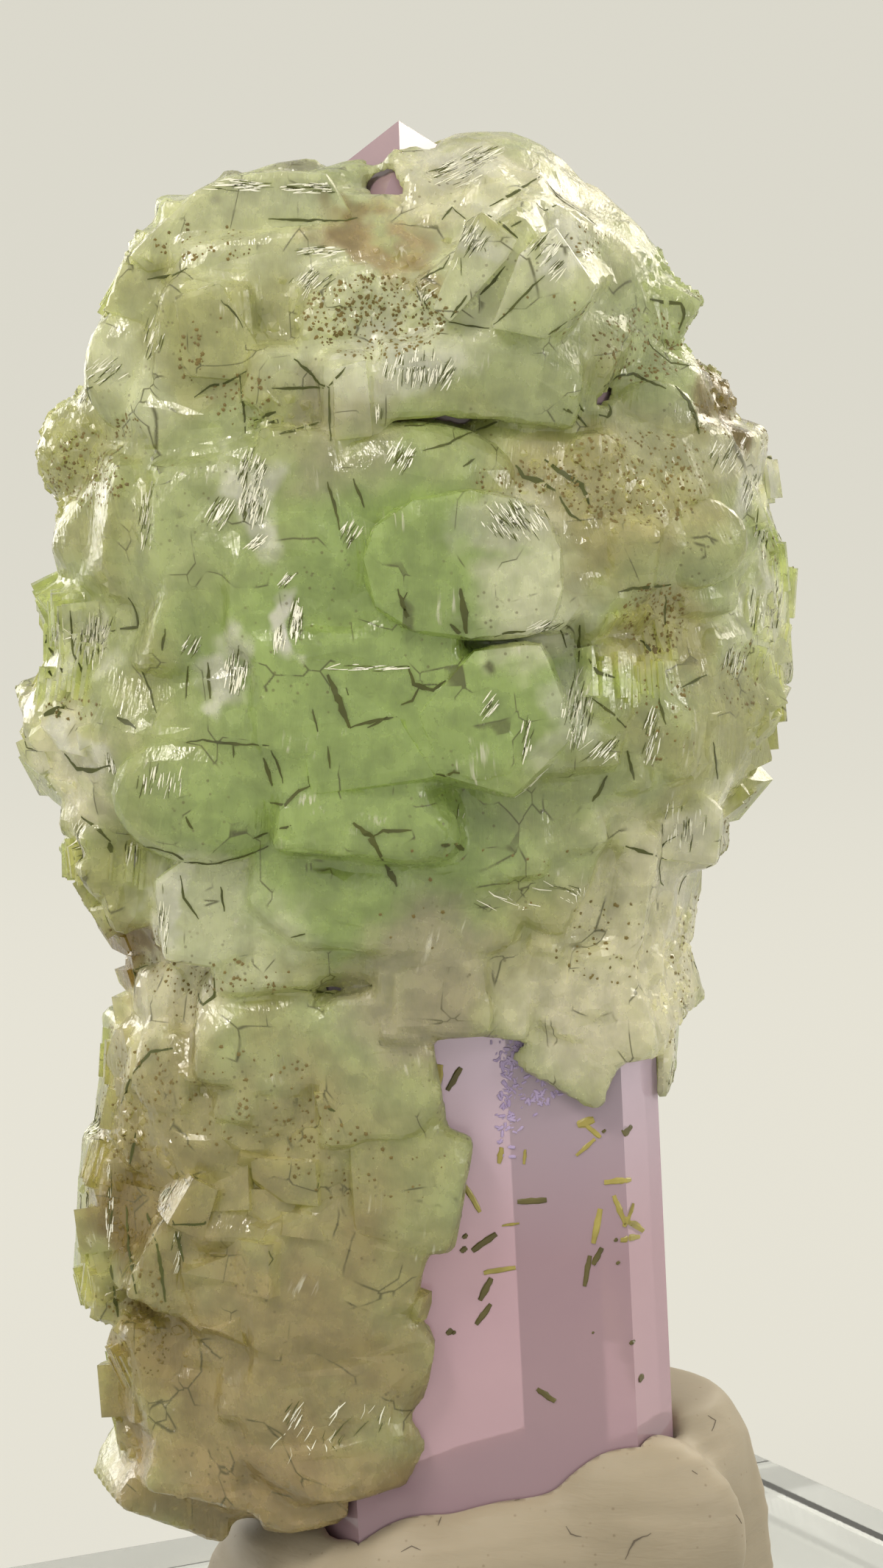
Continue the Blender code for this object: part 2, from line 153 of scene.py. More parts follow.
camera_data = bpy.data.cameras.new("camera")
camera_data.sensor_fit = "VERTICAL"
camera_data.sensor_height = SENSOR_HEIGHT
camera_data.lens = SENSOR_HEIGHT * FOCAL_PIXELS / PHOTO_HEIGHT
camera_data.clip_start = 0.01
camera = bpy.data.objects.new("camera", camera_data)
bpy.context.scene.collection.objects.link(camera)
camera.location = AIM + Vector((0, -math.cos(ELEVATION), math.sin(ELEVATION))) * DISTANCE
camera.rotation_euler = (math.pi / 2 - ELEVATION, 0, 0)
bpy.context.scene.camera = camera

for name, place, size, power, colour in LAMPS:
    light = bpy.data.lights.new(name, "AREA")
    light.energy = power
    light.size = size
    light.color = linear(colour)
    lamp = bpy.data.objects.new(name, light)
    lamp.location = place
    lamp.rotation_euler = (AIM - Vector(place)).to_track_quat("-Z", "Y").to_euler()
    bpy.context.scene.collection.objects.link(lamp)

world = bpy.data.worlds.new("soft_daylight")
world.use_nodes = True
daylight = world.node_tree.nodes["Background"]
daylight.inputs["Color"].default_value = (*linear(DAYLIGHT_COLOUR), 1)
daylight.inputs["Strength"].default_value = DAYLIGHT_STRENGTH
bpy.context.scene.world = world
bpy.context.scene.view_settings.view_transform = "Standard"
bpy.context.scene.cycles.max_bounces = 6
bpy.context.scene.cycles.diffuse_bounces = 1
bpy.context.scene.cycles.glossy_bounces = 2
bpy.context.scene.cycles.transmission_bounces = 5

# The display plate: a square of cast acrylic, sawn and polished. It carries the putty.
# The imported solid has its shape, so only its finish is made here: hairline rubs and faint smears.
ACRYLIC_IOR = 1.49
ACRYLIC_TINT = "fbfdfc"
RUB_SPACING = 0.35 * MM

cast_acrylic, tree = new_material("cast_acrylic_clear")
place = add_node(tree, "ShaderNodeTexCoord").outputs["Object"]
smears = add_node(tree, "ShaderNodeTexNoise", {"Vector": place, "Scale": 60.0, "Detail": 4.0})
roughness = add_node(
    tree,
    "ShaderNodeMapRange",
    {"Value": smears.outputs[0], "From Min": 0.35, "From Max": 0.75, "To Min": 0.02, "To Max": 0.13},
)
stretched = add_node(
    tree,
    "ShaderNodeMapping",
    {"Vector": place, "Rotation": (0, 0, 0.7), "Scale": (1 / RUB_SPACING, 0.03 / RUB_SPACING, 1)},
)
rubs = add_node(tree, "ShaderNodeTexNoise", {"Vector": stretched.outputs[0], "Scale": 1.0})
rub_bump = add_node(
    tree, "ShaderNodeBump", {"Height": rubs.outputs[0], "Distance": 0.01 * MM, "Strength": 0.3}
)
shader = add_node(
    tree,
    "ShaderNodeBsdfPrincipled",
    {
        "Base Color": ACRYLIC_TINT,
        "Roughness": roughness.outputs[0],
        "IOR": ACRYLIC_IOR,
        "Transmission Weight": 1.0,
        "Normal": rub_bump.outputs[0],
    },
)
add_node(tree, "ShaderNodeOutputMaterial", {"Surface": shader.outputs[0]})
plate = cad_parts["display_plate"]
plate.data.materials.clear()
plate.data.materials.append(cast_acrylic)

# The amethyst: one clear lilac prism of quartz, with fibres and specks of green mineral in it.
# It grew first, so its flat faces are bright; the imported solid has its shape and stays.
AXIS = Vector((-11.6, 7.1, 0)) * MM
QUARTZ_IOR = 1.544
QUARTZ_MILKINESS = 0.45

lilac_quartz, tree = new_material("lilac_quartz_clear")
place = add_node(tree, "ShaderNodeTexCoord").outputs["Object"]
veils = add_node(
    tree, "ShaderNodeTexNoise", {"Vector": place, "Scale": 90.0, "Detail": 3.0, "Distortion": 0.6}
)
tint = add_node(tree, "ShaderNodeMix", {"Factor": veils.outputs[0]}, data_type="RGBA")
tint.inputs[6].default_value = (*linear("e3c0c8"), 1)
tint.inputs[7].default_value = (*linear("d2afc0"), 1)
# Painted light: from 39 mm up to 100 mm the tint is paled towards light lilac. This is partly the crystal's
# own paler colour near the crust, and partly light painted in to lift the shade that the overhanging crust
# casts there.
height_up = add_node(tree, "ShaderNodeSeparateXYZ", {"Vector": place}).outputs["Z"]
above = add_node(
    tree,
    "ShaderNodeMapRange",
    {"Value": height_up, "From Min": 39 * MM, "From Max": 60 * MM, "To Min": 0.0, "To Max": 1.0},
)
below_crust = add_node(
    tree,
    "ShaderNodeMapRange",
    {"Value": height_up, "From Min": 80 * MM, "From Max": 100 * MM, "To Min": 1.0, "To Max": 0.0},
)
painted_light_zone = add_node(
    tree, "ShaderNodeMath", {0: above.outputs[0], 1: below_crust.outputs[0]}, operation="MINIMUM"
)
tint_with_painted_light = add_node(tree, "ShaderNodeMix", {"Factor": painted_light_zone.outputs[0]}, data_type="RGBA")
tree.links.new(tint.outputs[2], tint_with_painted_light.inputs[6])
tint_with_painted_light.inputs[7].default_value = (*linear("eadff6"), 1)
growth_lines = add_node(
    tree, "ShaderNodeMapping", {"Vector": place, "Scale": (60.0, 60.0, 1400.0)}
)
lines = add_node(tree, "ShaderNodeTexNoise", {"Vector": growth_lines.outputs[0], "Scale": 1.0})
line_bump = add_node(
    tree, "ShaderNodeBump", {"Height": lines.outputs[0], "Distance": 0.02 * MM, "Strength": 0.35}
)
shader = add_node(
    tree,
    "ShaderNodeBsdfPrincipled",
    {
        "Base Color": tint_with_painted_light.outputs[2],
        "Roughness": 0.06,
        "IOR": QUARTZ_IOR,
        "Transmission Weight": 1 - QUARTZ_MILKINESS,
        "Normal": line_bump.outputs[0],
    },
)
absorption = add_node(tree, "ShaderNodeVolumeAbsorption", {"Color": "e4c2ce", "Density": 7.0})
add_node(
    tree,
    "ShaderNodeOutputMaterial",
    {"Surface": shader.outputs[0], "Volume": absorption.outputs[0]},
)
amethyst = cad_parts["amethyst_crystal"]
amethyst.data.materials.clear()
amethyst.data.materials.append(lilac_quartz)

FACE_DEPTH = 0.03 * MM
FIBRE_THICKNESS = 0.12 * MM
FIBRES = (
    # middle in pixels, length in pixels, angle up from the right in degrees, width in pixels, dark
    (617, 1467, 36, 60, 9, True),
    (594, 1467, 40, 80, 13, False),
    (796, 1526, 24, 20, 13, False),
    (806, 1538, 26, -40, 8, False),
    (796, 1560, 34, 42, 6, False),
    (680, 1571, 22, 80, 8, False),
    (713, 1573, 20, 85, 5, False),
    (839, 1606, 36, 6, 9, False),
    (641, 1628, 46, -60, 8, False),
    (723, 1633, 40, 4, 9, True),
    (694, 1665, 24, 8, 4, False),
    (658, 1689, 40, 36, 10, True),
    (811, 1667, 48, 78, 9, False),
    (812, 1708, 26, 62, 8, True),
    (798, 1728, 42, 80, 8, True),
    (842, 1645, 42, -68, 8, False),
    (854, 1652, 34, 70, 8, False),
    (862, 1668, 26, -30, 7, False),
    (856, 1684, 26, 10, 6, False),
    (679, 1727, 44, 10, 8, False),
    (660, 1753, 34, 62, 9, True),
    (657, 1787, 34, 55, 8, True),
    (742, 1897, 30, -35, 9, True),
)
DARK_DOTS = (
    (850, 1538, 5), (856, 1534, 3), (821, 1538, 3), (632, 1681, 4), (630, 1699, 5), (611, 1811, 5),
    (617, 1812, 3), (837, 1686, 3), (840, 1717, 3), (859, 1825, 4), (871, 1874, 4), (806, 1812, 2),
)
SPONGE = ((700, 1420, 26, 40, 120), (690, 1490, 16, 60, 90), (735, 1480, 24, 26, 50))


def evaluated_mesh(obj, name):
    """The plain mesh that an object's modifiers make."""
    depsgraph = bpy.context.evaluated_depsgraph_get()
    mesh = bpy.data.meshes.new_from_object(obj.evaluated_get(depsgraph))
    mesh.name = name
    return mesh


def merged_copy(node):
    """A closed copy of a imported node's mesh, whose own triangles are loose."""
    bm = bmesh.new()
    bm.from_mesh(node.data)
    bmesh.ops.remove_doubles(bm, verts=bm.verts, dist=0.001 * MM)
    mesh = bpy.data.meshes.new(node.name + "_copy")
    bm.to_mesh(mesh)
    bm.free()
    return mesh


def photo_ray(px, py, turn=0):
    """The camera's ray through a pixel of the photograph, turned round the specimen's axis."""
    spin = Matrix.Rotation(math.radians(turn), 3, "Z")
    forward = Vector((0, math.cos(ELEVATION), -math.sin(ELEVATION)))
    up = Vector((0, math.sin(ELEVATION), math.cos(ELEVATION)))
    across = (px - PHOTO_WIDTH / 2) / FOCAL_PIXELS
    down = (py - PHOTO_HEIGHT / 2) / FOCAL_PIXELS
    direction = forward + Vector((across, 0, 0)) - up * down
    return AXIS + spin @ (AIM - forward * DISTANCE - AXIS), (spin @ direction).normalized()


def surface_of(mesh):
    """A search tree that rays can be cast at."""
    return BVHTree.FromPolygons([v.co for v in mesh.vertices], [p.vertices for p in mesh.polygons])


def fibre(bm, surface, px, py, length, angle, width, rng):
    """A spindle-shaped fibre of green mineral that lies just under the crystal's face."""
    lean = math.radians(angle)
    stations = 6
    rings = []
    for i in range(stations + 1):
        along = (i / stations - 0.5) * length
        pixel = (px + along * math.cos(lean), py - along * math.sin(lean))
        point, normal, _, _ = surface.ray_cast(*photo_ray(*pixel))
        if point is None:
            return
        rings.append((point - normal * FACE_DEPTH, normal))
    across = (rings[-1][0] - rings[0][0]).cross(rings[0][1]).normalized()
    scale = (rings[-1][0] - rings[0][0]).length / length
    loops = []
    for i, (centre, normal) in enumerate(rings):
        thick = width * 0.6 * scale * (0.7 + 0.3 * math.sin(math.pi * i / stations))
        loop = []
        for k in range(6):
            turn = 2 * math.pi * k / 6
            reach = thick * rng.uniform(0.75, 1.15)
            loop.append(
                bm.verts.new(
                    centre
                    + across * math.cos(turn) * reach
                    + normal * math.sin(turn) * min(reach, FIBRE_THICKNESS)
                )
            )
        loops.append(loop)
    for first, second in zip(loops, loops[1:]):
        for k in range(6):
            bm.faces.new((first[k], first[(k + 1) % 6], second[(k + 1) % 6], second[k]))
    bm.faces.new(loops[0])
    bm.faces.new(loops[-1][::-1])


def mineral_material(name, dark, pale, roughness):
    """A small mineral's finish: two tones in patches under half a millimetre across."""
    material, tree = new_material(name)
    place = add_node(tree, "ShaderNodeTexCoord").outputs["Object"]
    patchy = add_node(tree, "ShaderNodeTexNoise", {"Vector": place, "Scale": 600.0, "Detail": 2.0})
    tone = add_node(tree, "ShaderNodeMix", {"Factor": patchy.outputs[0]}, data_type="RGBA")
    tone.inputs[6].default_value = (*linear(dark), 1)
    tone.inputs[7].default_value = (*linear(pale), 1)
    rough = add_node(
        tree,
        "ShaderNodeMapRange",
        {
            "Value": patchy.outputs[0],
            "From Min": 0.3,
            "From Max": 0.7,
            "To Min": roughness * 0.7,
            "To Max": roughness * 1.2,
        },
    )
    shader = add_node(
        tree,
        "ShaderNodeBsdfPrincipled",
        {"Base Color": tone.outputs[2], "Roughness": rough.outputs[0]},
    )
    add_node(tree, "ShaderNodeOutputMaterial", {"Surface": shader.outputs[0]})
    return material


def finished_piece(name, bm, material):
    """Turns a drawn mesh into a piece that rides on the object."""
    bmesh.ops.recalc_face_normals(bm, faces=bm.faces)
    mesh = bpy.data.meshes.new(name)
    bm.to_mesh(mesh)
    bm.free()
    piece = mesh_object(name, mesh, material)
    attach(piece, "root")
    return piece


rng = random.Random(3)
quartz_surface = surface_of(merged_copy(amethyst))
olive_fibres = bmesh.new()
dark_fibres = bmesh.new()
violet_sponge = bmesh.new()
for px, py, length, angle, width, dark in FIBRES:
    fibre(dark_fibres if dark else olive_fibres, quartz_surface, px, py, length, angle, width, rng)
for px, py, size in DARK_DOTS:
    fibre(dark_fibres, quartz_surface, px, py, size * 2, 40, size * 1.6, rng)
for cx, cy, rx, ry, count in SPONGE:
    for _ in range(count):
        px, py = rng.gauss(cx, rx / 2), rng.gauss(cy, ry / 2)
        size = rng.uniform(1.6, 5)
        fibre(violet_sponge, quartz_surface, px, py, size * 2, rng.uniform(0, 180), size, rng)
epidote = mineral_material("olive_epidote_fibre", "6f6526", "c0b262", 0.35)
dark_epidote = mineral_material("dark_epidote_fibre", "3f3a1c", "6d6434", 0.4)
violet_spots = mineral_material("violet_hollow_spots", "9984b2", "c2b2d4", 0.4)
finished_piece("amethyst_olive_fibres", olive_fibres, epidote)
finished_piece("amethyst_dark_fibres", dark_fibres, dark_epidote)
finished_piece("amethyst_violet_spots", violet_sponge, violet_spots)

# The mounting putty: an off-white lump kneaded soft and pressed round the crystal's foot by hand.
# It keeps finger dents and drag wrinkles, and picks up dust and short fibres.
PUTTY_VOXEL = 0.5 * MM
WRINKLE = 0.35 * MM
SEAT_GAP = 0.2 * MM
THUMB_PADS = (
    # centre, then reach across, forward and up, in mm from the specimen's axis
    (15.5, -10.2, 19, 7.5, 4.2, 8.0),
    (8, -10.2, 15.5, 9, 4.4, 7.6),
    (1.5, -10.8, 14.5, 7, 4.4, 7.4),
)
LINT = (
    ((962, 1925), (972, 1932), (968, 1945)),
    ((590, 2050), (600, 2062), (596, 2075)),
    ((850, 2120), (862, 2095), (885, 2085)),
    ((700, 2040), (712, 2036)),
    ((940, 2000), (948, 2004)),
    ((770, 2075), (776, 2086), (790, 2090)),
    ((300, 2100), (312, 2108)),
    ((545, 2110), (560, 2102), (572, 2108)),
    ((1000, 2060), (1008, 2072)),
)

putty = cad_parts["mounting_putty"]
soft_putty, tree = new_material("soft_putty_off_white")
place = add_node(tree, "ShaderNodeTexCoord").outputs["Object"]
broad = add_node(tree, "ShaderNodeTexNoise", {"Vector": place, "Scale": 110.0, "Detail": 4.0})
tone = add_node(tree, "ShaderNodeMix", {"Factor": broad.outputs[0]}, data_type="RGBA")
tone.inputs[6].default_value = (*linear("93876f"), 1)
tone.inputs[7].default_value = (*linear("b0a48f"), 1)
dust = add_node(tree, "ShaderNodeTexVoronoi", {"Vector": place, "Scale": 900.0})
dust_mask = add_node(
    tree,
    "ShaderNodeMapRange",
    {"Value": dust.outputs["Distance"], "From Min": 0.05, "From Max": 0.12, "To Min": 0.6, "To Max": 0},
)
dusty = add_node(tree, "ShaderNodeMix", {"Factor": dust_mask.outputs[0]}, data_type="RGBA")
tree.links.new(tone.outputs[2], dusty.inputs[6])
dusty.inputs[7].default_value = (*linear("7f705a"), 1)
ridges = add_node(
    tree,
    "ShaderNodeMapping",
    {"Vector": place, "Rotation": (0.4, 0.2, 0.5), "Scale": (500.0, 500.0, 2600.0)},
)
prints = add_node(
    tree,
    "ShaderNodeTexNoise",
    {"Vector": ridges.outputs[0], "Scale": 1.0, "Detail": 2.0, "Distortion": 0.6},
)
print_bump = add_node(
    tree, "ShaderNodeBump", {"Height": prints.outputs[0], "Distance": 0.06 * MM, "Strength": 0.5}
)
shader = add_node(
    tree,
    "ShaderNodeBsdfPrincipled",
    {
        "Base Color": dusty.outputs[2],
        "Roughness": 0.55,
        "Subsurface Weight": 0.3,
        "Subsurface Radius": (1.0, 0.8, 0.6),
        "Subsurface Scale": 1.5 * MM,
        "Normal": print_bump.outputs[0],
    },
)
add_node(tree, "ShaderNodeOutputMaterial", {"Surface": shader.outputs[0]})


def grown_copy(name, gap):
    """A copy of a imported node, grown by a gap on every side, that cuts other pieces clear."""
    mesh = merged_copy(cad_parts[name])
    low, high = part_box(name)
    middle = (low + high) / 2
    grown = [1 + 2 * gap / (high[i] - low[i]) for i in range(3)]
    mesh.transform(
        Matrix.Translation(middle) @ Matrix.Diagonal((*grown, 1)) @ Matrix.Translation(-middle)
    )
    return bpy.data.objects.new(name + "_clearance", mesh)


kneaded = bmesh.new()
kneaded.from_mesh(merged_copy(putty))
for x, y, z, across, deep, up in THUMB_PADS:
    sizes = Matrix.Diagonal((across * MM, deep * MM, up * MM, 1))
    pad_place = Matrix.Translation(AXIS + Vector((x, y, z)) * MM)
    bmesh.ops.create_icosphere(kneaded, subdivisions=4, radius=1, matrix=pad_place @ sizes)
mesh = bpy.data.meshes.new("putty_kneaded")
kneaded.to_mesh(mesh)
kneaded.free()
lump = mesh_object("putty_lump", mesh, soft_putty)
remesh = lump.modifiers.new("even_skin", "REMESH")
remesh.mode = "VOXEL"
remesh.voxel_size = PUTTY_VOXEL
soften = lump.modifiers.new("kneaded", "SMOOTH")
soften.factor = 0.5
soften.iterations = 30
putty_mesh = evaluated_mesh(lump, "putty_lump")
bpy.data.objects.remove(lump)
low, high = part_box("mounting_putty")
outward = [vertex.normal.copy() for vertex in putty_mesh.vertices]
for vertex, normal in zip(putty_mesh.vertices, outward):
    spot = vertex.co / MM
    folds = noise.noise(Vector((spot.x * 0.12, spot.y * 0.12, spot.z * 0.75)) + Vector((3, 1, 5)))
    dents = noise.noise(spot * 0.16)
    vertex.co -= normal * WRINKLE * (0.6 * abs(folds) + 0.8 * max(0, dents))
    vertex.co.z = min(max(vertex.co.z, low.z), high.z)
lump = mesh_object("putty_lump", putty_mesh, soft_putty)
seat = lump.modifiers.new("crystal_seat", "BOOLEAN")
seat.operation = "DIFFERENCE"
seat.solver = "MANIFOLD"
seat.object = grown_copy("amethyst_crystal", SEAT_GAP)
putty_mesh = evaluated_mesh(lump, "putty_lump")
bpy.data.objects.remove(seat.object)
bpy.data.objects.remove(lump)
putty_mesh.shade_smooth()
putty_lump = mesh_object("putty_lump", putty_mesh, soft_putty)
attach(putty_lump, "root")
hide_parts("mounting_putty")

# The prehnite crust: one mass of green crystals, blocky in its heart and thin-plated at its rims,
# that grew over the amethyst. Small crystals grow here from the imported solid's own faces.
CRUST_GAP = 0.3 * MM
SKIN_VOXEL = 0.4 * MM
SKIN_KEPT = 0.27
GROWTH_SEED = 7
STEP_CELL = 3.0 * MM
STEP_HEIGHT = 0.4 * MM
BARE_PLACES = (
    (5.6, -4, 109, 9, 8, 5),
    (7, -13, 103.5, 7.5, 6, 6),
    (6, -15, 98.6, 6.5, 5, 3.5),
    (-12, -6, 106.5, 8, 6, 3),
    (0, -17, 79, 13, 8, 12),
    (0.4, -16, 89, 7, 6, 5),
    (6.5, -17, 84.6, 6, 6, 5.5),
    (-12.4, -12, 100.3, 5, 5, 4),
    (-12, -13, 88.5, 4.5, 5, 7),
    (-13, -15, 70.2, 7, 6, 6),
    (-18.2, -4, 97.3, 5, 6, 4.5),
    (15.9, -10, 94.3, 3.8, 5, 3.8),
    (18.7, -8, 86, 4.5, 5, 3.5),
    (-4.9, -15, 64.9, 7, 5, 5),
    (2.2, -15, 67.3, 7, 5, 5),
    (-13.4, -13, 62.8, 3.5, 4, 4),
    (17.2, -7, 67, 4.5, 5, 3),
    (1, -13, 43.9, 4, 4, 5),
    (-16, -6, 55.6, 3.5, 5, 3),
    (0.3, -13, 58, 4.5, 4, 5),
    (-4, -13, 28, 7, 7, 9),
    (-2, -13, 42, 5, 7, 6),
    (-3, -3, 112, 6, 8, 4),
    (17.5, -4, 51, 4, 6, 4),
)
GRAINY_PLACES = (
    (-8, -9, 49, 6, 5, 5),
    (-12, -7, 33, 7, 5, 6),
    (-2.2, -12, 101.5, 7, 5, 4),
    (11.3, -12, 89.9, 8, 6, 4.5),
    (-21.6, -2, 91.6, 6, 7, 6),
    (16.5, -8, 81.4, 4, 5, 4),
    (15.5, 0, 101.3, 5, 7, 5),
    (20, 0, 96, 4, 6, 5),
    (-15.8, -7, 105.1, 4, 5, 3),
    (-8, -12, 94.5, 4, 5, 3),
    (-17, -4, 38, 5, 9, 19),
    (15, -6, 56, 6, 6, 8),
    (21.8, -3, 73.7, 4, 5, 4),
    (-21.8, -5, 72.7, 4, 5, 4),
    (0, 16, 90, 20, 8, 12),
    (0, 14, 50, 14, 8, 18),
)
BLOCKY_PLACES = (
    (-8, -8, 40, 12, 8, 20),
    (-21.8, -5, 72.7, 6, 6, 6),
    (22, -2, 76, 5, 7, 9),
    (-18, -4, 60, 6, 7, 7),
    (-16, -5, 40, 6, 8, 18),
    (-5, -10, 28, 9, 5, 7),
    (0, 16, 60, 26, 9, 45),
)
PLATED_PLACES = (
    (23.7, -2, 80.3, 4, 9, 7),
    (-22.3, -4, 79, 4, 9, 7),
    (23.6, 0, 87.5, 4, 8, 5),
    (-18.4, -6, 64.4, 5, 7, 5),
    (12.7, -13, 80, 4, 4, 6),
    (-16, -5, 104, 5, 6, 4),
    (-19, -3, 35, 5, 8, 15),
    (-14, -12, 77, 4, 4, 4),
    (20, 2, 70, 5, 8, 6),
    (0, 17, 72, 16, 6, 10),
)


def nearness(points, places):
    """How far inside any of the ellipsoids each point is: 1 at a centre, 0 on a surface."""
    best = np.zeros(len(points))
    for x, y, z, rx, ry, rz in places:
        centre = np.array(AXIS) + np.array((x, y, z)) * MM
        span = np.linalg.norm((points - centre) / (np.array((rx, ry, rz)) * MM), axis=1)
        best = np.maximum(best, 1 - span)
    return best


def cut_block(size, cuts, rng):
    """A block with some corners cut off flat, as a small crystal's end faces are."""
    bm = bmesh.new()
    bmesh.ops.create_cube(bm, size=1.0)
    for _ in range(cuts):
        normal = Vector([rng.choice((-1, 1)) * rng.uniform(0.25, 1) for _ in range(3)]).normalized()
        reach = max(v.co.dot(normal) for v in bm.verts)
        bmesh.ops.bisect_plane(
            bm,
            geom=bm.verts[:] + bm.edges[:] + bm.faces[:],
            plane_co=normal * reach * rng.uniform(0.68, 0.9),
            plane_no=normal,
            clear_outer=True,
        )
        bmesh.ops.holes_fill(bm, edges=bm.edges)
    bmesh.ops.scale(bm, verts=bm.verts, vec=size)
    bmesh.ops.triangulate(bm, faces=bm.faces)
    bmesh.ops.recalc_face_normals(bm, faces=bm.faces)
    return bm


def seed_crystals(name, makers):
    """A collection of small seed crystals, each one unit across, outside the scene."""
    collection = bpy.data.collections.new(name)
    for i, bm in enumerate(makers):
        mesh = bpy.data.meshes.new(f"{name}_{i}")
        bm.to_mesh(mesh)
        bm.free()
        collection.objects.link(bpy.data.objects.new(f"{name}_{i}", mesh))
    return collection


def plate_book(rng):
    """A book of thin plates that stand side by side along X, with narrow slots between them."""
    book = bmesh.new()
    left = -0.5
    while left < 0.45:
        thick = rng.uniform(0.05, 0.2)
        leaf = cut_block((thick, rng.uniform(0.6, 1.0), rng.uniform(0.6, 0.9)), 2, rng)
        leaf.transform(Matrix.Translation((left + thick / 2, rng.uniform(-0.15, 0.15), 0)))
        mesh = bpy.data.meshes.new("leaf")
        leaf.to_mesh(mesh)
        leaf.free()
        book.from_mesh(mesh)
        bpy.data.meshes.remove(mesh)
        left += thick + rng.uniform(0.015, 0.05)
    return book


def warty_grain(rng):
    """A rounded grain with uneven faces."""
    bm = bmesh.new()
    bmesh.ops.create_icosphere(bm, subdivisions=1, radius=0.5)
    for vertex in bm.verts:
        vertex.co *= rng.uniform(0.8, 1.15)
    return bm


rng = random.Random(GROWTH_SEED)
blocks = seed_crystals(
    "seed_block",
    [
        cut_block((rng.uniform(0.7, 1.1), rng.uniform(0.5, 0.9), rng.uniform(0.4, 0.6)), 5, rng)
        for _ in range(6)
    ],
)
books = seed_crystals("seed_book", [plate_book(rng) for _ in range(4)])
grains = seed_crystals("seed_grain", [warty_grain(rng) for _ in range(4)])

skin = mesh_object("crust_skin", merged_copy(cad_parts["prehnite_crust"]), matt_paper)
remesh = skin.modifiers.new("even_skin", "REMESH")
remesh.mode = "VOXEL"
remesh.voxel_size = SKIN_VOXEL
skin.data = evaluated_mesh(skin, "crust_skin_even")
skin.modifiers.clear()

points = np.array([v.co for v in skin.data.vertices])
bare = np.clip(nearness(points, BARE_PLACES) * 3, 0, 1)
melt = skin.vertex_groups.new(name="melted")
for i, weight in enumerate(bare):
    melt.add([i], 0.3 + 0.7 * float(weight), "REPLACE")
smooth = skin.modifiers.new("melted_edges", "SMOOTH")
smooth.factor = 0.5
smooth.iterations = 24
smooth.vertex_group = "melted"
thin = skin.modifiers.new("fewer_faces", "DECIMATE")
thin.ratio = SKIN_KEPT
skin.data = evaluated_mesh(skin, "crust_skin_melted")
skin.modifiers.clear()

points = np.array([v.co for v in skin.data.vertices])
bare = np.clip(nearness(points, BARE_PLACES) * 3, 0, 1)
grainy = np.clip(nearness(points, GRAINY_PLACES) * 2.5, 0, 1)
plated = np.clip(nearness(points, PLATED_PLACES) * 2.5, 0, 1)
blocky = np.clip(nearness(points, BLOCKY_PLACES) * 2.5, 0, 1)
SHARES = {
    "block": 0.8 * blocky * (1 - bare),
    "book": 0.8 * plated * (1 - bare),
    "grain": grainy * (1 - 0.9 * bare),
}
for layer, share in SHARES.items():
    attribute = skin.data.attributes.new(f"{layer}_share", "FLOAT", "POINT")
    attribute.data.foreach_set("value", share.astype(np.float32))



def tab_crystal(surface, outline, proud, back, bevel):
    """A clear flat-faced crystal that stands proud of the skin, from its outline in pixels."""
    origin, direction = photo_ray(*[sum(c) / len(outline) for c in zip(*outline)])
    front = surface.ray_cast(origin, direction)[0].y - proud
    bm = bmesh.new()
    for depth in (front, front + back):
        for pixel in outline:
            origin, direction = photo_ray(*pixel)
            bm.verts.new(origin + direction * ((depth - origin.y) / direction.y))
    bmesh.ops.convex_hull(bm, input=bm.verts)
    bmesh.ops.dissolve_limit(bm, angle_limit=0.02, verts=bm.verts, edges=bm.edges)
    bmesh.ops.bevel(bm, geom=bm.edges, offset=bevel, segments=2, affect="EDGES", profile=0.6)
    bmesh.ops.triangulate(bm, faces=bm.faces)
    bmesh.ops.recalc_face_normals(bm, faces=bm.faces)
    return bm


def dome_crystal(surface, cx, cy, rx, ry, proud):
    """A rounded crystal: the cap of an egg shape whose middle lies behind the skin."""
    origin, direction = photo_ray(cx, cy)
    hit = surface.ray_cast(origin, direction)[0]
    reach = (hit - origin).length / FOCAL_PIXELS
    radii = Vector((rx * reach, (rx + ry) / 2 * reach * 0.55, ry * reach))
    bm = bmesh.new()
    bmesh.ops.create_icosphere(bm, subdivisions=3, radius=1)
    middle = hit + Vector((0, radii.y - proud, 0))
    bm.transform(Matrix.Translation(middle) @ Matrix.Diagonal((*radii, 1)))
    return bm


TABS = (
    # outline in pixels, height above the skin, depth behind its face, bevel
    (((634, 302), (655, 287), (704, 326), (690, 352), (612, 438), (588, 420)), 1.0, 6, 0.2),
    (((706, 345), (755, 308), (810, 388), (797, 415), (742, 462), (667, 446)), 1.2, 6, 0.2),
    (
        (
            (488, 760), (505, 712), (560, 676), (640, 662), (704, 674), (748, 702), (766, 745),
            (768, 800), (756, 850), (717, 868), (640, 872), (560, 862), (505, 828),
        ),
        1.0, 7, 1.3,
    ),
    (((102, 990), (122, 984), (129, 1010), (108, 1021)), 0.8, 3, 0.1),
    (((208, 1196), (252, 1166), (346, 1160), (374, 1204), (366, 1290), (300, 1318), (222, 1306)), 0.4, 5, 0.5),
    (((828, 1082), (955, 1074), (984, 1100), (976, 1178), (880, 1168), (830, 1140)), 0.8, 5, 0.6),
    (((236, 402), (300, 384), (352, 470), (342, 520), (250, 512)), 0.6, 5, 0.4),
    (((452, 502), (498, 488), (508, 594), (454, 600)), 0.7, 5, 0.3),
    (((174, 348), (202, 318), (264, 260), (308, 238), (380, 231), (445, 235), (482, 296), (420, 330), (200, 372)), 0.8, 5, 0.5),
    (((470, 1530), (592, 1546), (636, 1600), (610, 1650), (570, 1700), (480, 1680)), 0.3, 6, 0.8),
    (((395, 930), (470, 925), (500, 985), (545, 975), (600, 1060), (420, 1085)), 0.3, 5, 0.9),
    (((642, 880), (740, 868), (790, 1000), (700, 1090), (600, 1060), (560, 970)), 0.3, 5, 1.3),
)
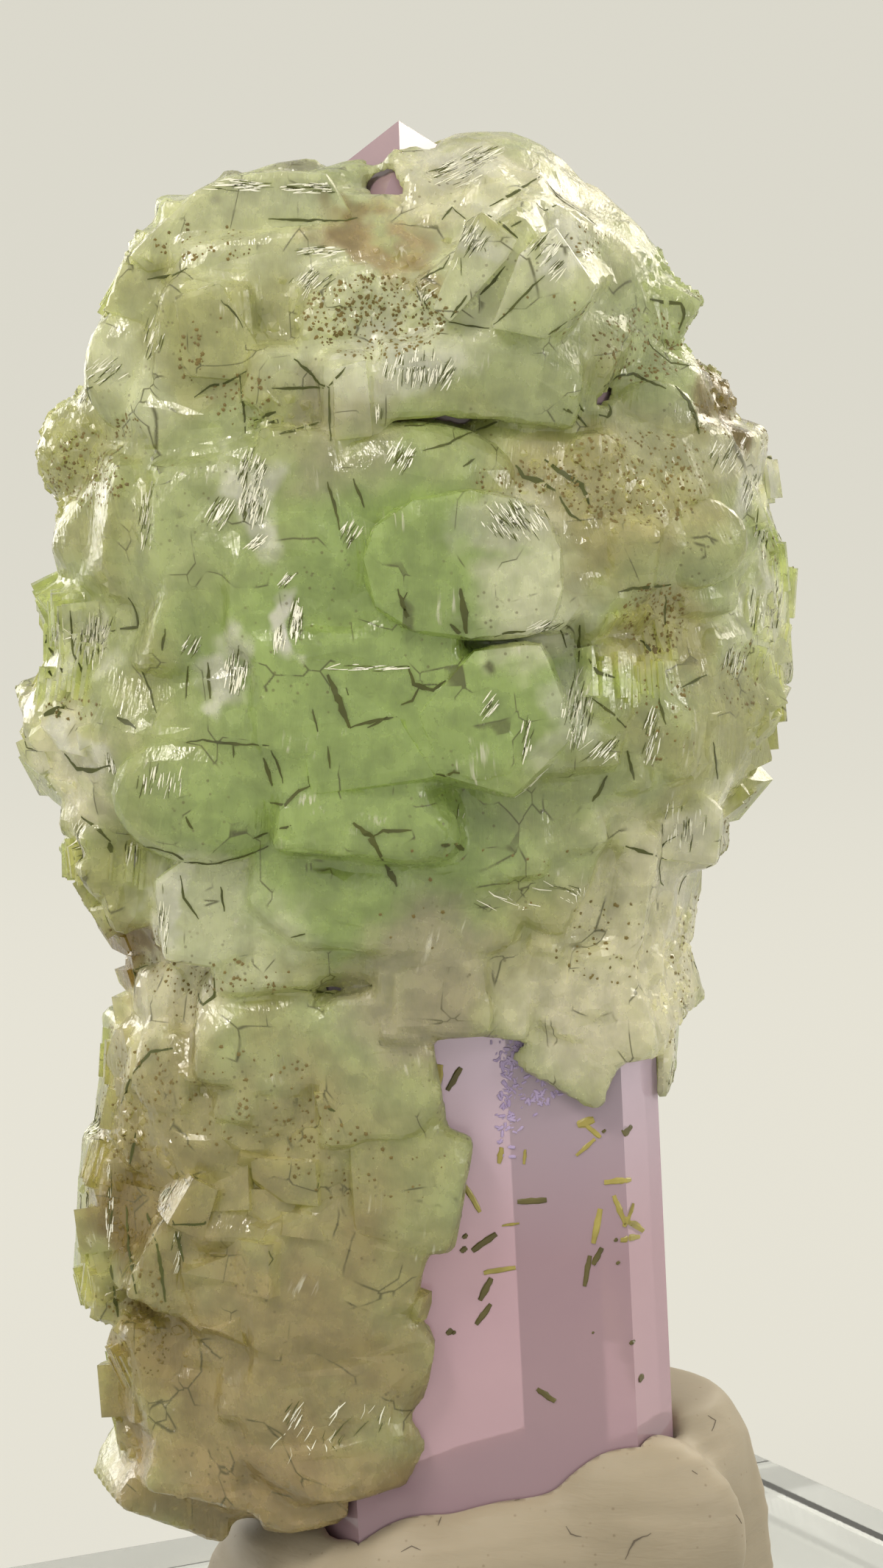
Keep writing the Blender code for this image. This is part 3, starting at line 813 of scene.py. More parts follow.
DOMES = (
    # middle and half-sizes in pixels, height above the skin
    (280, 1085, 132, 100, 0.8),
    (885, 575, 66, 58, 0.5),
    (935, 740, 84, 66, 0.5),
    (180, 505, 68, 88, 0.6),
    (560, 665, 150, 90, 0.9),
    (480, 830, 150, 95, 0.7),
    (640, 985, 90, 95, 0.7),
    (815, 545, 52, 36, 0.5),
)
surface = surface_of(skin.data)
tab_meshes = [
    tab_crystal(surface, outline, proud * MM, back * MM, bevel * MM)
    for outline, proud, back, bevel in TABS
]
tab_meshes += [dome_crystal(surface, *place, proud * MM) for *place, proud in DOMES]
tabs = seed_crystals("tab", tab_meshes)

# The socket and the seat: the crystal and the putty, each grown by the gap, cut the crust clear.
cutters = [grown_copy(name, CRUST_GAP) for name in ("amethyst_crystal", "mounting_putty")]

green_prehnite, tree = new_material("green_prehnite")

LAYERS = (
    # layer, seeds, spacing, size, smallest and largest share of it, depth as a share, tilt
    ("block", blocks, 1.9 * MM, 3.8 * MM, 0.4, 1.5, 0.2, 0.3),
    ("book", books, 2.4 * MM, 3.4 * MM, 0.6, 1.2, 0.3, 0.25),
    ("grain", grains, 0.8 * MM, 0.95 * MM, 0.6, 1.2, 0.2, 3.1),
)
growth = bpy.data.node_groups.new("crust_growth", "GeometryNodeTree")
growth.interface.new_socket("Geometry", in_out="INPUT", socket_type="NodeSocketGeometry")
for layer, _, spacing, size, *_ in LAYERS:
    for word, value in (("Spacing", spacing), ("Size", size)):
        socket = growth.interface.new_socket(
            f"{layer.title()} {word}", in_out="INPUT", socket_type="NodeSocketFloat"
        )
        socket.subtype = "DISTANCE"
for word in ("Step Cell", "Step Height"):
    socket = growth.interface.new_socket(word, in_out="INPUT", socket_type="NodeSocketFloat")
    socket.subtype = "DISTANCE"
growth.interface.new_socket("Geometry", in_out="OUTPUT", socket_type="NodeSocketGeometry")
given = add_node(growth, "NodeGroupInput")
spot = add_node(growth, "GeometryNodeInputPosition")
finer = add_node(
    growth, "ShaderNodeMath", {0: 1.0, 1: given.outputs["Step Cell"]}, operation="DIVIDE"
)
cells = add_node(
    growth,
    "ShaderNodeTexVoronoi",
    {"Vector": spot.outputs[0], "Scale": finer.outputs[0], "Randomness": 0.8},
    distance="CHEBYCHEV",
)
level = add_node(
    growth,
    "ShaderNodeMath",
    {0: cells.outputs["Color"], 1: given.outputs["Step Height"]},
    operation="MULTIPLY",
)
outward = add_node(growth, "GeometryNodeInputNormal")
rise = add_node(
    growth,
    "ShaderNodeVectorMath",
    {0: outward.outputs[0], "Scale": level.outputs[0]},
    operation="SCALE",
)
stepped = add_node(
    growth,
    "GeometryNodeSetPosition",
    {"Geometry": given.outputs["Geometry"], "Offset": rise.outputs[0]},
).outputs[0]
crystals = []
for number, (layer, seeds, _, _, least, most, depth, tilt) in enumerate(LAYERS):
    spacing = given.outputs[f"{layer.title()} Spacing"]
    share = add_node(
        growth, "GeometryNodeInputNamedAttribute", {"Name": f"{layer}_share"}, data_type="FLOAT"
    )
    scatter = add_node(
        growth,
        "GeometryNodeDistributePointsOnFaces",
        {
            "Mesh": stepped,
            "Distance Min": spacing,
            "Density Max": 3e6 if layer == "grain" else 1e6,
            "Density Factor": share.outputs["Attribute"],
            "Seed": GROWTH_SEED + number,
        },
        distribute_method="POISSON",
    )
    turn = add_node(
        growth,
        "FunctionNodeRandomValue",
        {"Min": (-tilt, -tilt, -tilt), "Max": (tilt, tilt, tilt), "Seed": number},
        data_type="FLOAT_VECTOR",
    )
    lean = add_node(growth, "FunctionNodeEulerToRotation", {"Euler": turn.outputs[0]})
    rotation = add_node(
        growth,
        "FunctionNodeRotateRotation",
        {"Rotation": scatter.outputs["Rotation"], "Rotate By": lean.outputs[0]},
        rotation_space="LOCAL",
    )
    spread = add_node(growth, "FunctionNodeRandomValue", {"Seed": number + 10}, data_type="FLOAT")
    spread.inputs[2].default_value = least
    spread.inputs[3].default_value = most
    scale = add_node(
        growth,
        "ShaderNodeMath",
        {0: spread.outputs[1], 1: given.outputs[f"{layer.title()} Size"]},
        operation="MULTIPLY",
    )
    sunk = add_node(
        growth, "ShaderNodeMath", {0: scale.outputs[0], 1: -depth}, operation="MULTIPLY"
    )
    inward = add_node(
        growth,
        "ShaderNodeVectorMath",
        {0: scatter.outputs["Normal"], "Scale": sunk.outputs[0]},
        operation="SCALE",
    )
    rooted = add_node(
        growth,
        "GeometryNodeSetPosition",
        {"Geometry": scatter.outputs["Points"], "Offset": inward.outputs[0]},
    )
    kit = add_node(
        growth,
        "GeometryNodeCollectionInfo",
        {"Collection": seeds, "Separate Children": True, "Reset Children": True},
    )
    crystals.append(
        add_node(
            growth,
            "GeometryNodeInstanceOnPoints",
            {
                "Points": rooted.outputs["Geometry"],
                "Instance": kit.outputs[0],
                "Pick Instance": True,
                "Rotation": rotation.outputs[0],
                "Scale": scale.outputs[0],
            },
        ).outputs[0]
    )
union = add_node(growth, "GeometryNodeMeshBoolean", operation="UNION", solver="MANIFOLD")
tab_kit = add_node(
    growth, "GeometryNodeCollectionInfo", {"Collection": tabs, "Separate Children": True}
)
for part in (stepped, *crystals, tab_kit.outputs[0]):
    growth.links.new(part, union.inputs["Mesh 2"])
cleared = union.outputs[0]
for cutter in cutters:
    tool = add_node(growth, "GeometryNodeObjectInfo", {"Object": cutter})
    cleared = add_node(
        growth,
        "GeometryNodeMeshBoolean",
        {"Mesh 1": cleared, "Mesh 2": tool.outputs["Geometry"]},
        operation="DIFFERENCE",
        solver="MANIFOLD",
    ).outputs[0]
plain = add_node(growth, "GeometryNodeRealizeInstances", {"Geometry": cleared})
coated = add_node(
    growth, "GeometryNodeSetMaterial", {"Geometry": plain.outputs[0], "Material": green_prehnite}
)
add_node(growth, "NodeGroupOutput", {"Geometry": coated.outputs[0]})

growing = skin.modifiers.new("crust_growth", "NODES")
growing.node_group = growth
settings = {"Step Cell": STEP_CELL, "Step Height": STEP_HEIGHT}
for layer, _, spacing, size, *_ in LAYERS:
    settings[f"{layer.title()} Spacing"] = spacing
    settings[f"{layer.title()} Size"] = size
for item in growth.interface.items_tree:
    if item.in_out == "INPUT" and item.name in settings:
        growing[item.identifier] = settings[item.name]
crust_mesh = evaluated_mesh(skin, "prehnite_growth")
bpy.data.objects.remove(skin)
for cutter in cutters:
    bpy.data.objects.remove(cutter)
crust = mesh_object("prehnite_growth", crust_mesh, green_prehnite)
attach(crust, "root")
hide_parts("prehnite_crust")

# The prehnite itself: green in the heart, olive to the right, tan and rusty at the foot, and
# clouded with brown specks where it is grainy. Light goes in and scatters, as through wax.
PREHNITE_IOR = 1.62
COLOURS = {
    "heart": "96ac62",
    "leaf": "a9b37c",
    "pale": "d5d9b1",
    "olive": "a7a76e",
    "deep_olive": "ada671",
    "tan": "9a8457",
    "warm": "a68f63",
    "grey": "b0b187",
    "cream": "ded9b7",
    "rust": "7b652f",
    "mauve": "a59a81",
    # a painted highlight: the soft pale glow laid where glints shine
    "frost": "dedecb",
    "slate": "898873",
}
CLOUDS = (
    # centre, reach across and reach up, in mm from the specimen's axis, colour, strength
    (-12, -6, 107, 10, 6, "pale", 0.6),
    (-9.5, -3, 111, 5, 1.2, "slate", 0.8),
    (6, -4, 108, 9, 5, "cream", 0.8),
    (7, -13, 103, 8, 6, "pale", 0.7),
    (6, -15, 98.6, 7, 4, "leaf", 0.8),
    (-2, -12, 101, 8, 5, "pale", 0.8),
    (-3, -12, 106, 4, 2, "warm", 0.8),
    (-18, -4, 97, 6, 5, "pale", 0.8),
    (-22, -2, 91, 6, 6, "olive", 0.9),
    (-12, -12, 100, 6, 4, "olive", 0.7),
    (-3, -15, 94, 5, 4, "mauve", 0.6),
    (-12, -13, 88, 6, 8, "leaf", 0.7),
    (0, -16, 80, 16, 14, "heart", 1.0),
    (-4, -15, 68, 13, 9, "heart", 0.9),
    (8.6, -17, 84, 4.4, 4.6, "pale", 1.0),
    (-13, -15, 70, 8, 7, "heart", 0.5),
    (-22, -5, 73, 5, 5, "cream", 0.8),
    (-20, -4, 80, 6, 6, "leaf", 0.7),
    (13, -12, 90, 9, 6, "deep_olive", 0.9),
    (17, -8, 93, 5, 4, "grey", 0.7),
    (18, -8, 86, 5, 4, "leaf", 0.6),
    (22, 0, 92, 4, 3, "cream", 0.7),
    (20, 0, 95, 3, 3, "rust", 0.9),
    (16, -8, 81, 5, 4, "deep_olive", 0.8),
    (23, -2, 80, 5, 6, "pale", 0.6),
    (21, -3, 74, 5, 4, "olive", 0.8),
    (17, -7, 67, 6, 4, "cream", 0.8),
    (14, -7, 57, 9, 9, "cream", 1.0),
    (1, -13, 58, 6, 7, "mauve", 0.7),
    (-13, -13, 62, 6, 5, "pale", 0.7),
    (-16, -6, 56, 6, 5, "cream", 0.8),
    (-12, -8, 46, 14, 10, "tan", 0.6),
    (-9, -8, 32, 14, 12, "tan", 0.8),
    (-17, -5, 35, 4, 16, "rust", 0.35),
    (-8, -8, 22, 14, 7, "warm", 0.8),
    # The next fifteen patches, in the palest colour, are painted highlights: soft glows laid where glints
    # shine on the crust.
    (-9.8, -14, 90.3, 2.4, 3.4, "frost", 0.7),
    (-7, -17, 82.1, 1.2, 2.6, "frost", 0.9),
    (-11, -15, 78.5, 1.6, 2.6, "frost", 0.7),
    (0.4, -16, 98.1, 4, 2.4, "frost", 0.5),
    (6.9, -17, 88.3, 4, 2, "frost", 0.35),
    (22.8, -3, 89.3, 1.8, 4, "frost", 0.8),
    (11, -14, 76, 2, 4.5, "frost", 0.4),
    (-21, -5, 79.6, 2, 3, "frost", 0.5),
    (9.4, -14, 105.3, 2.4, 2, "frost", 0.8),
    (4.4, -14, 106.4, 1.6, 2, "frost", 0.6),
    (3.5, -6, 110.4, 4, 2, "frost", 0.6),
    (23.9, -3, 81.6, 2.4, 3, "frost", 0.5),
    (-15.9, -11, 61.8, 1.2, 4, "frost", 0.7),
    (-21.5, -6, 73.1, 1.4, 1.6, "frost", 0.9),
    (18.8, -8, 67.7, 4, 3, "frost", 0.4),
    (-19.2, -2, 59.2, 3.4, 3.6, "rust", 1.0),
    (-4.2, -10, 106.6, 1.8, 1.6, "rust", 0.5),
    (-18.6, -5, 39, 1.8, 8, "rust", 0.6),
)
place = add_node(tree, "ShaderNodeTexCoord").outputs["Object"]
local = add_node(
    tree,
    "ShaderNodeMapping",
    {"Vector": place, "Location": -AXIS / MM, "Scale": (1 / MM, 1 / MM, 1 / MM)},
).outputs[0]
drift = add_node(
    tree, "ShaderNodeTexNoise", {"Vector": local, "Scale": 0.16, "Detail": 3.0, "Roughness": 0.6}
)
offset = add_node(
    tree, "ShaderNodeVectorMath", {0: drift.outputs["Color"], 1: (0.5, 0.5, 0.5)}, operation="SUBTRACT"
)
warped = add_node(
    tree, "ShaderNodeVectorMath", {0: offset.outputs[0], 1: (12, 12, 12), 2: local},
    operation="MULTIPLY_ADD",
).outputs[0]


def mixed(factor, first, second, blend="MIX"):
    """One colour laid over another."""
    node = add_node(tree, "ShaderNodeMix", data_type="RGBA", blend_type=blend, clamp_factor=True)
    for slot, value in ((0, factor), (6, first), (7, second)):
        if isinstance(value, bpy.types.NodeSocket):
            tree.links.new(value, node.inputs[slot])
        elif isinstance(value, str):
            node.inputs[slot].default_value = (*linear(value), 1)
        else:
            node.inputs[slot].default_value = value
    return node.outputs[2]


def ranged(value, low, high, to_low, to_high, smooth=True):
    """Maps a value from one range to another, clamped."""
    return add_node(
        tree,
        "ShaderNodeMapRange",
        {"Value": value, "From Min": low, "From Max": high, "To Min": to_low, "To Max": to_high},
        interpolation_type="SMOOTHSTEP" if smooth else "LINEAR",
    ).outputs[0]


broad = add_node(tree, "ShaderNodeTexNoise", {"Vector": local, "Scale": 0.09, "Detail": 2.0})
colour = mixed(ranged(broad.outputs[0], 0.35, 0.65, 0, 1), COLOURS["leaf"], COLOURS["olive"])
for x, y, z, across, up, name, strength in CLOUDS:
    reach = (across, 11, up)
    inside = add_node(
        tree,
        "ShaderNodeMapping",
        {
            "Vector": warped,
            "Location": [-c / r for c, r in zip((x, y, z), reach)],
            "Scale": [1 / r for r in reach],
        },
    )
    span = add_node(tree, "ShaderNodeVectorMath", {0: inside.outputs[0]}, operation="LENGTH")
    colour = mixed(ranged(span.outputs["Value"], 1.25, 0.55, 0, strength), colour, COLOURS[name])
mottle = add_node(tree, "ShaderNodeTexNoise", {"Vector": local, "Scale": 0.7, "Detail": 5.0})
shade = ranged(mottle.outputs[0], 0.3, 0.7, 0.84, 1.14)
colour = mixed(1.0, colour, shade, "MULTIPLY")
specks = add_node(tree, "ShaderNodeTexVoronoi", {"Vector": local, "Scale": 1.5})
speck_patch = add_node(tree, "ShaderNodeTexNoise", {"Vector": local, "Scale": 0.14})
speck_mask = add_node(
    tree,
    "ShaderNodeMath",
    {
        0: ranged(specks.outputs["Distance"], 0.1, 0.2, 0.6, 0),
        1: ranged(speck_patch.outputs[0], 0.52, 0.62, 0, 1),
    },
    operation="MULTIPLY",
).outputs[0]
colour = mixed(speck_mask, colour, "5c5126")
lean = add_node(tree, "ShaderNodeTexNoise", {"Vector": local, "Scale": 0.06, "Detail": 0.0})
wobble = add_node(
    tree, "ShaderNodeVectorMath", {0: lean.outputs["Color"], 1: (9, 9, 9), 2: local},
    operation="MULTIPLY_ADD",
).outputs[0]
# Cleavage steps: blocky cells whose tops stand at slightly different heights, with dark hairlines
# along a few of their straight edges, and fine upright streaks where plates lie side by side, painted pale as
# a sheen on the plate ends.
height = 0.0
for cell, rise, line, tone in ((4.2, 0.5, 0.03, 0.09), (1.7, 0.35, 0.0, 0.04)):
    settings = {"Vector": wobble, "Scale": 1 / cell, "Randomness": 0.75}
    cells = add_node(tree, "ShaderNodeTexVoronoi", settings, distance="CHEBYCHEV")
    height = add_node(
        tree,
        "ShaderNodeMath",
        {0: cells.outputs["Color"], 1: rise, 2: height},
        operation="MULTIPLY_ADD",
    ).outputs[0]
    block_tone = ranged(cells.outputs["Color"], 0, 1, 1 - tone, 1 + tone, False)
    colour = mixed(1.0, colour, block_tone, "MULTIPLY")
    if line:
        second = add_node(
            tree, "ShaderNodeTexVoronoi", settings, distance="CHEBYCHEV", feature="F2"
        )
        between = add_node(
            tree,
            "ShaderNodeMath",
            {0: second.outputs["Distance"], 1: cells.outputs["Distance"]},
            operation="SUBTRACT",
        )
        hairline = ranged(between.outputs[0], 0.0, line, 1, 0)
        patches = add_node(tree, "ShaderNodeTexNoise", {"Vector": local, "Scale": 0.3})
        patch = ranged(patches.outputs[0], 0.52, 0.6, 0, 0.85)
        crack = add_node(
            tree, "ShaderNodeMath", {0: hairline, 1: patch}, operation="MULTIPLY"
        ).outputs[0]
        colour = mixed(crack, colour, "4c4a22")
upright = add_node(tree, "ShaderNodeMapping", {"Vector": wobble, "Scale": (4.0, 2.0, 0.3)})
streaks = add_node(
    tree, "ShaderNodeTexNoise", {"Vector": upright.outputs[0], "Scale": 1.0, "Detail": 3.0}
)
painted_sheen_patch = ranged(patches.outputs[0], 0.38, 0.28, 0, 1)
painted_sheen_streak = add_node(
    tree,
    "ShaderNodeMath",
    {0: ranged(streaks.outputs[0], 0.55, 0.68, 0, 0.6), 1: painted_sheen_patch},
    operation="MULTIPLY",
).outputs[0]
# Painted highlight: these streaks lighten the colour to near-white, a sheen laid on the plate ends.
colour = mixed(painted_sheen_streak, colour, "f0edd6")
height = add_node(
    tree, "ShaderNodeMath", {0: streaks.outputs[0], 1: 0.5, 2: height}, operation="MULTIPLY_ADD"
).outputs[0]
fine = add_node(tree, "ShaderNodeTexNoise", {"Vector": local, "Scale": 2.6, "Detail": 4.0})
height = add_node(
    tree, "ShaderNodeMath", {0: fine.outputs[0], 1: 0.25, 2: height}, operation="MULTIPLY_ADD"
).outputs[0]
bump = add_node(
    tree, "ShaderNodeBump", {"Height": height, "Distance": 0.2 * MM, "Strength": 0.7}
)
shader = add_node(
    tree,
    "ShaderNodeBsdfPrincipled",
    {
        "Base Color": colour,
        "Roughness": ranged(mottle.outputs[0], 0.3, 0.7, 0.1, 0.36),
        "IOR": PREHNITE_IOR,
        "Transmission Weight": 0.3,
        "Subsurface Weight": 0.9,
        "Subsurface Radius": (1.0, 1.1, 0.5),
        "Subsurface Scale": 1.8 * MM,
        "Normal": bump.outputs[0],
    },
    subsurface_method="BURLEY",
)
add_node(tree, "ShaderNodeOutputMaterial", {"Surface": shader.outputs[0]})

# Dark films: iron-stained cracks that run into the crust, drawn where the photograph shows them
# and by chance on the sides and back. Each is a thin wedge whose broad edge breaks the surface.
# Inside the glint patches, the same dark wedges are painted shade in the slots between plates.
CRACK_STEP = 7
FILM_PROUD = 0.025 * MM
FILM_DEPTH = 0.3 * MM
FILM_SPREAD = 1.5
SHEET_JUMP = 0.9 * MM
CRACKS = (
    (0.14, (665, 281), (700, 262), (733, 240)),
    (0.12, (695, 308), (728, 292), (757, 279)),
    (0.12, (600, 299), (614, 282), (632, 298)),
    (0.14, (652, 286), (680, 302), (703, 324)),
    (0.10, (612, 348), (603, 364), (585, 372), (565, 385)),
    (0.14, (686, 362), (672, 382), (652, 401)),
    (0.14, (634, 402), (622, 418), (608, 438)),
    (0.12, (610, 438), (640, 444), (665, 446), (690, 425), (715, 398), (740, 375)),
    (0.10, (745, 455), (770, 438), (790, 428), (802, 410)),
    (0.14, (690, 570), (665, 578), (635, 590), (605, 605), (575, 612)),
    (0.12, (630, 634), (645, 624)),
    (0.25, (700, 632), (712, 648), (735, 655), (755, 668)),
    (0.25, (740, 625), (760, 640), (790, 660), (803, 690)),
    (0.16, (760, 675), (775, 700), (790, 708)),
    (0.14, (765, 555), (785, 565), (798, 580)),
    (0.18, (820, 525), (840, 512), (860, 508), (885, 520), (905, 528)),
    (0.25, (918, 525), (935, 545), (945, 565), (950, 590)),
    (0.30, (626, 800), (632, 840), (634, 868)),
    (0.22, (612, 848), (625, 862), (634, 880)),
    (0.18, (540, 800), (548, 822), (553, 840)),
    (0.14, (553, 805), (545, 820), (555, 838)),
    (0.12, (672, 866), (690, 860), (715, 858)),
    (0.22, (555, 905), (562, 930), (575, 935), (590, 938), (605, 925)),
    (0.14, (570, 935), (560, 952), (545, 958)),
    (0.14, (500, 990), (520, 978), (540, 975)),
    (0.22, (592, 1052), (605, 1055), (615, 1050), (625, 1052)),
    (0.28, (600, 1148), (612, 1150)),
    (0.28, (618, 1148), (630, 1155)),
    (0.28, (480, 1118), (505, 1140), (540, 1205)),
    (0.18, (505, 1138), (520, 1130), (560, 1129)),
    (0.18, (840, 805), (860, 800), (890, 798), (912, 795)),
    (0.12, (905, 810), (903, 850)),
    (0.22, (870, 870), (885, 885)),
    (0.16, (788, 850), (786, 900)),
    (0.16, (800, 895), (812, 915), (835, 922)),
    (0.14, (805, 950), (835, 972), (850, 990)),
    (0.10, (760, 850), (770, 880)),
    (0.18, (853, 1020), (862, 1060)),
    (0.12, (970, 1010), (975, 1060)),
    (0.14, (895, 950), (905, 985)),
    (0.14, (925, 935), (945, 925), (960, 918)),
    (0.22, (825, 1055), (815, 1075), (805, 1090)),
    (0.16, (850, 1150), (880, 1160), (905, 1168)),
    (0.16, (400, 488), (420, 505), (435, 522), (447, 527)),
    (0.12, (447, 525), (462, 510), (470, 500)),
    (0.12, (447, 527), (449, 600)),
    (0.14, (370, 528), (440, 527)),
    (0.20, (345, 572), (375, 560)),
    (0.20, (365, 575), (385, 572)),
    (0.18, (380, 590), (400, 585), (440, 572)),
    (0.12, (325, 510), (332, 560), (334, 590)),
    (0.10, (550, 580), (575, 578), (610, 570)),
    (0.10, (300, 408), (318, 425), (330, 445)),
    (0.14, (365, 297), (390, 299), (420, 300), (470, 300), (485, 296)),
    (0.14, (200, 380), (235, 375), (255, 365)),
    (0.12, (265, 540), (285, 525), (310, 520), (335, 505)),
    (0.32, (445, 918), (460, 950), (475, 990)),
    (0.16, (475, 990), (490, 985), (510, 980), (527, 975)),
    (0.20, (470, 935), (473, 945)),
    (0.14, (425, 965), (430, 985), (432, 995)),
    (0.12, (445, 1015), (449, 1045)),
    (0.14, (253, 1010), (275, 1006), (320, 1012), (365, 1013)),
    (0.12, (316, 1013), (318, 1030)),
    (0.18, (358, 1030), (365, 1050), (370, 1068)),
    (0.12, (368, 1020), (380, 1045), (385, 1065)),
    (0.18, (195, 1150), (235, 1160), (252, 1172), (290, 1175), (330, 1165), (365, 1150)),
    (0.14, (345, 1140), (370, 1130), (395, 1123)),
    (0.18, (252, 1110), (262, 1128)),
    (0.10, (190, 905), (205, 940), (212, 970)),
    (0.12, (255, 905), (253, 950)),
    (0.16, (283, 900), (285, 950)),
    (0.14, (225, 855), (220, 885)),
    (0.18, (65, 850), (62, 875), (70, 885), (85, 915)),
    (0.16, (55, 895), (75, 925)),
    (0.14, (95, 830), (98, 870), (100, 890), (115, 920)),
    (0.35, (60, 972), (85, 962), (78, 975)),
    (0.22, (88, 1025), (105, 1045), (125, 1048), (150, 1040)),
    (0.22, (160, 975), (185, 990)),
    (0.18, (110, 1110), (130, 1125), (150, 1145)),
    (0.35, (148, 1145), (152, 1160)),
    (0.16, (445, 655), (455, 690), (462, 720)),
    (0.14, (480, 650), (495, 690)),
    (0.12, (245, 1190), (250, 1220), (270, 1250)),
    (0.12, (300, 1205), (305, 1240)),
    (0.14, (395, 1275), (415, 1270)),
    (0.12, (400, 1345), (430, 1348), (455, 1352)),
    (0.20, (172, 1640), (175, 1700), (185, 1760)),
    (0.18, (200, 1650), (215, 1700), (225, 1770)),
    (0.18, (165, 1500), (180, 1460), (205, 1430), (235, 1425)),
    (0.20, (150, 1720), (160, 1790)),
    (0.16, (185, 1540), (175, 1590)),
    (0.14, (235, 1660), (250, 1715)),
    (0.14, (445, 1508), (456, 1511)),
)
# Glint patches are painted highlights: near-white streaks laid on the crust where it shines, with every third
# streak a dark strip of painted shade for the slot between plate ends.
GLINTS = (
    # centre and half-sizes in pixels, streak angle in degrees, how many streaks
    (625, 235, 35, 18, 25, 26),
    (655, 212, 25, 12, 25, 16),
    (645, 320, 16, 22, 60, 18),
    (745, 335, 24, 20, 50, 18),
    (757, 365, 14, 10, 45, 8),
    (560, 500, 42, 24, 80, 40),
    (605, 510, 20, 16, 60, 12),
    (435, 342, 26, 8, 5, 18),
    (418, 378, 10, 10, 45, 12),
    (320, 252, 45, 10, 0, 24),
    (430, 256, 50, 8, 0, 22),
    (340, 640, 20, 24, 70, 34),
    (345, 685, 20, 28, 75, 40),
    (300, 695, 20, 18, 60, 16),
    (347, 736, 10, 9, 40, 14),
    (545, 620, 18, 16, 60, 20),
    (402, 845, 9, 28, 80, 30),
    (380, 868, 8, 18, 80, 12),
    (388, 787, 7, 7, 50, 6),
    (475, 725, 14, 14, 60, 10),
    (200, 700, 10, 50, 80, 16),
    (125, 870, 20, 30, 85, 34),
    (75, 860, 8, 25, 85, 8),
    (320, 915, 16, 28, 80, 30),
    (260, 880, 12, 12, 60, 8),
    (210, 460, 18, 24, 70, 12),
    (145, 505, 30, 16, 40, 14),
    (700, 708, 46, 26, -55, 46),
    (740, 853, 20, 7, 30, 18),
    (500, 908, 60, 5, 5, 14),
    (785, 965, 22, 52, 78, 34),
    (665, 960, 10, 14, 50, 8),
    (715, 1010, 10, 28, 75, 10),
    (815, 1020, 22, 14, 50, 12),
    (885, 1000, 12, 35, 75, 16),
    (1000, 895, 16, 18, 75, 14),
    (990, 620, 26, 22, 60, 18),
    (1020, 668, 12, 34, 72, 22),
    (1035, 725, 10, 30, 85, 14),
    (1040, 825, 26, 30, 82, 18),
    (215, 1062, 38, 18, 80, 14),
    (178, 1160, 10, 16, 85, 8),
    (222, 1250, 8, 42, 88, 14),
    (400, 1925, 14, 14, 60, 8),
    (148, 1640, 6, 60, 86, 14),
    (240, 1700, 8, 30, 75, 8),
    (915, 1465, 7, 20, 80, 8),
    (930, 1120, 34, 30, 85, 14),
    (515, 560, 5, 20, 85, 4),
)
SPECKLED = (
    # centre and half-sizes in pixels, how many grains
    (510, 430, 100, 58, 420),
    (280, 330, 70, 28, 50),
    (120, 640, 58, 52, 160),
    (170, 580, 28, 20, 24),
    (260, 475, 18, 48, 34),
    (870, 470, 66, 50, 160),
    (860, 650, 110, 66, 300),
    (890, 840, 44, 48, 140),
    (900, 980, 60, 60, 40),
    (960, 560, 22, 34, 36),
    (195, 1480, 46, 60, 60),
    (185, 1620, 36, 90, 90),
    (190, 1800, 44, 80, 80),
    (100, 965, 38, 18, 24),
    (800, 330, 28, 24, 24),
    (330, 540, 50, 40, 50),
    (700, 650, 56, 24, 40),
    (300, 1330, 100, 28, 50),
    (330, 1500, 120, 80, 90),
    (820, 1280, 70, 60, 50),
    (450, 1570, 60, 60, 30),
)
OTHER_SIDES = (75, 130, 180, 230, 285)

surface = surface_of(crust_mesh)
cracks_and_slot_shade = bmesh.new()
glint_streaks = bmesh.new()
specks_bm = bmesh.new()


def wedge(bm, surface, run, width, depth):
    """One closed sliver along a run of surface points, tapered to both ends."""
    rings = []
    for i, (point, normal) in enumerate(run):
        along = run[min(i + 1, len(run) - 1)][0] - run[max(i - 1, 0)][0]
        side = along.cross(normal).normalized()
        taper = min(1, 0.35 + 1.6 * min(i, len(run) - 1 - i) / len(run))
        half = width / 2 * taper * rng.uniform(0.65, 1.2)
        lift = normal * FILM_PROUD
        rings.append(
            [
                bm.verts.new(point + side * half + lift),
                bm.verts.new(point - side * half + lift),
                bm.verts.new(point - normal * depth),
            ]
        )
    for first, second in zip(rings, rings[1:]):
        for a in range(3):
            b = (a + 1) % 3
            bm.faces.new((first[a], first[b], second[b], second[a]))
    bm.faces.new(rings[0])
    bm.faces.new(rings[-1][::-1])


def drawn_on(bm, surface, pixels, width, depth, turn=0, step=CRACK_STEP, wander=0.8):
    """Draws a wedge along a line of pixels, broken where the surface jumps away."""
    run = []
    spots = [pixels[0]]
    for (ax, ay), (bx, by) in zip(pixels, pixels[1:]):
        count = max(1, round(math.hypot(bx - ax, by - ay) / step))
        for i in range(1, count + 1):
            spots.append((ax + (bx - ax) * i / count, ay + (by - ay) * i / count))
    runs = []
    for px, py in spots:
        jitter = (rng.uniform(-wander, wander), rng.uniform(-wander, wander))
        point, normal, _, _ = surface.ray_cast(*photo_ray(px + jitter[0], py + jitter[1], turn))
        if point is None or (run and (point - run[-1][0]).length > SHEET_JUMP):
            runs.append(run)
            run = []
        if point is not None:
            run.append((point, normal))
    for run in (*runs, run):
        if len(run) > 1:
            wedge(bm, surface, run, width, depth)


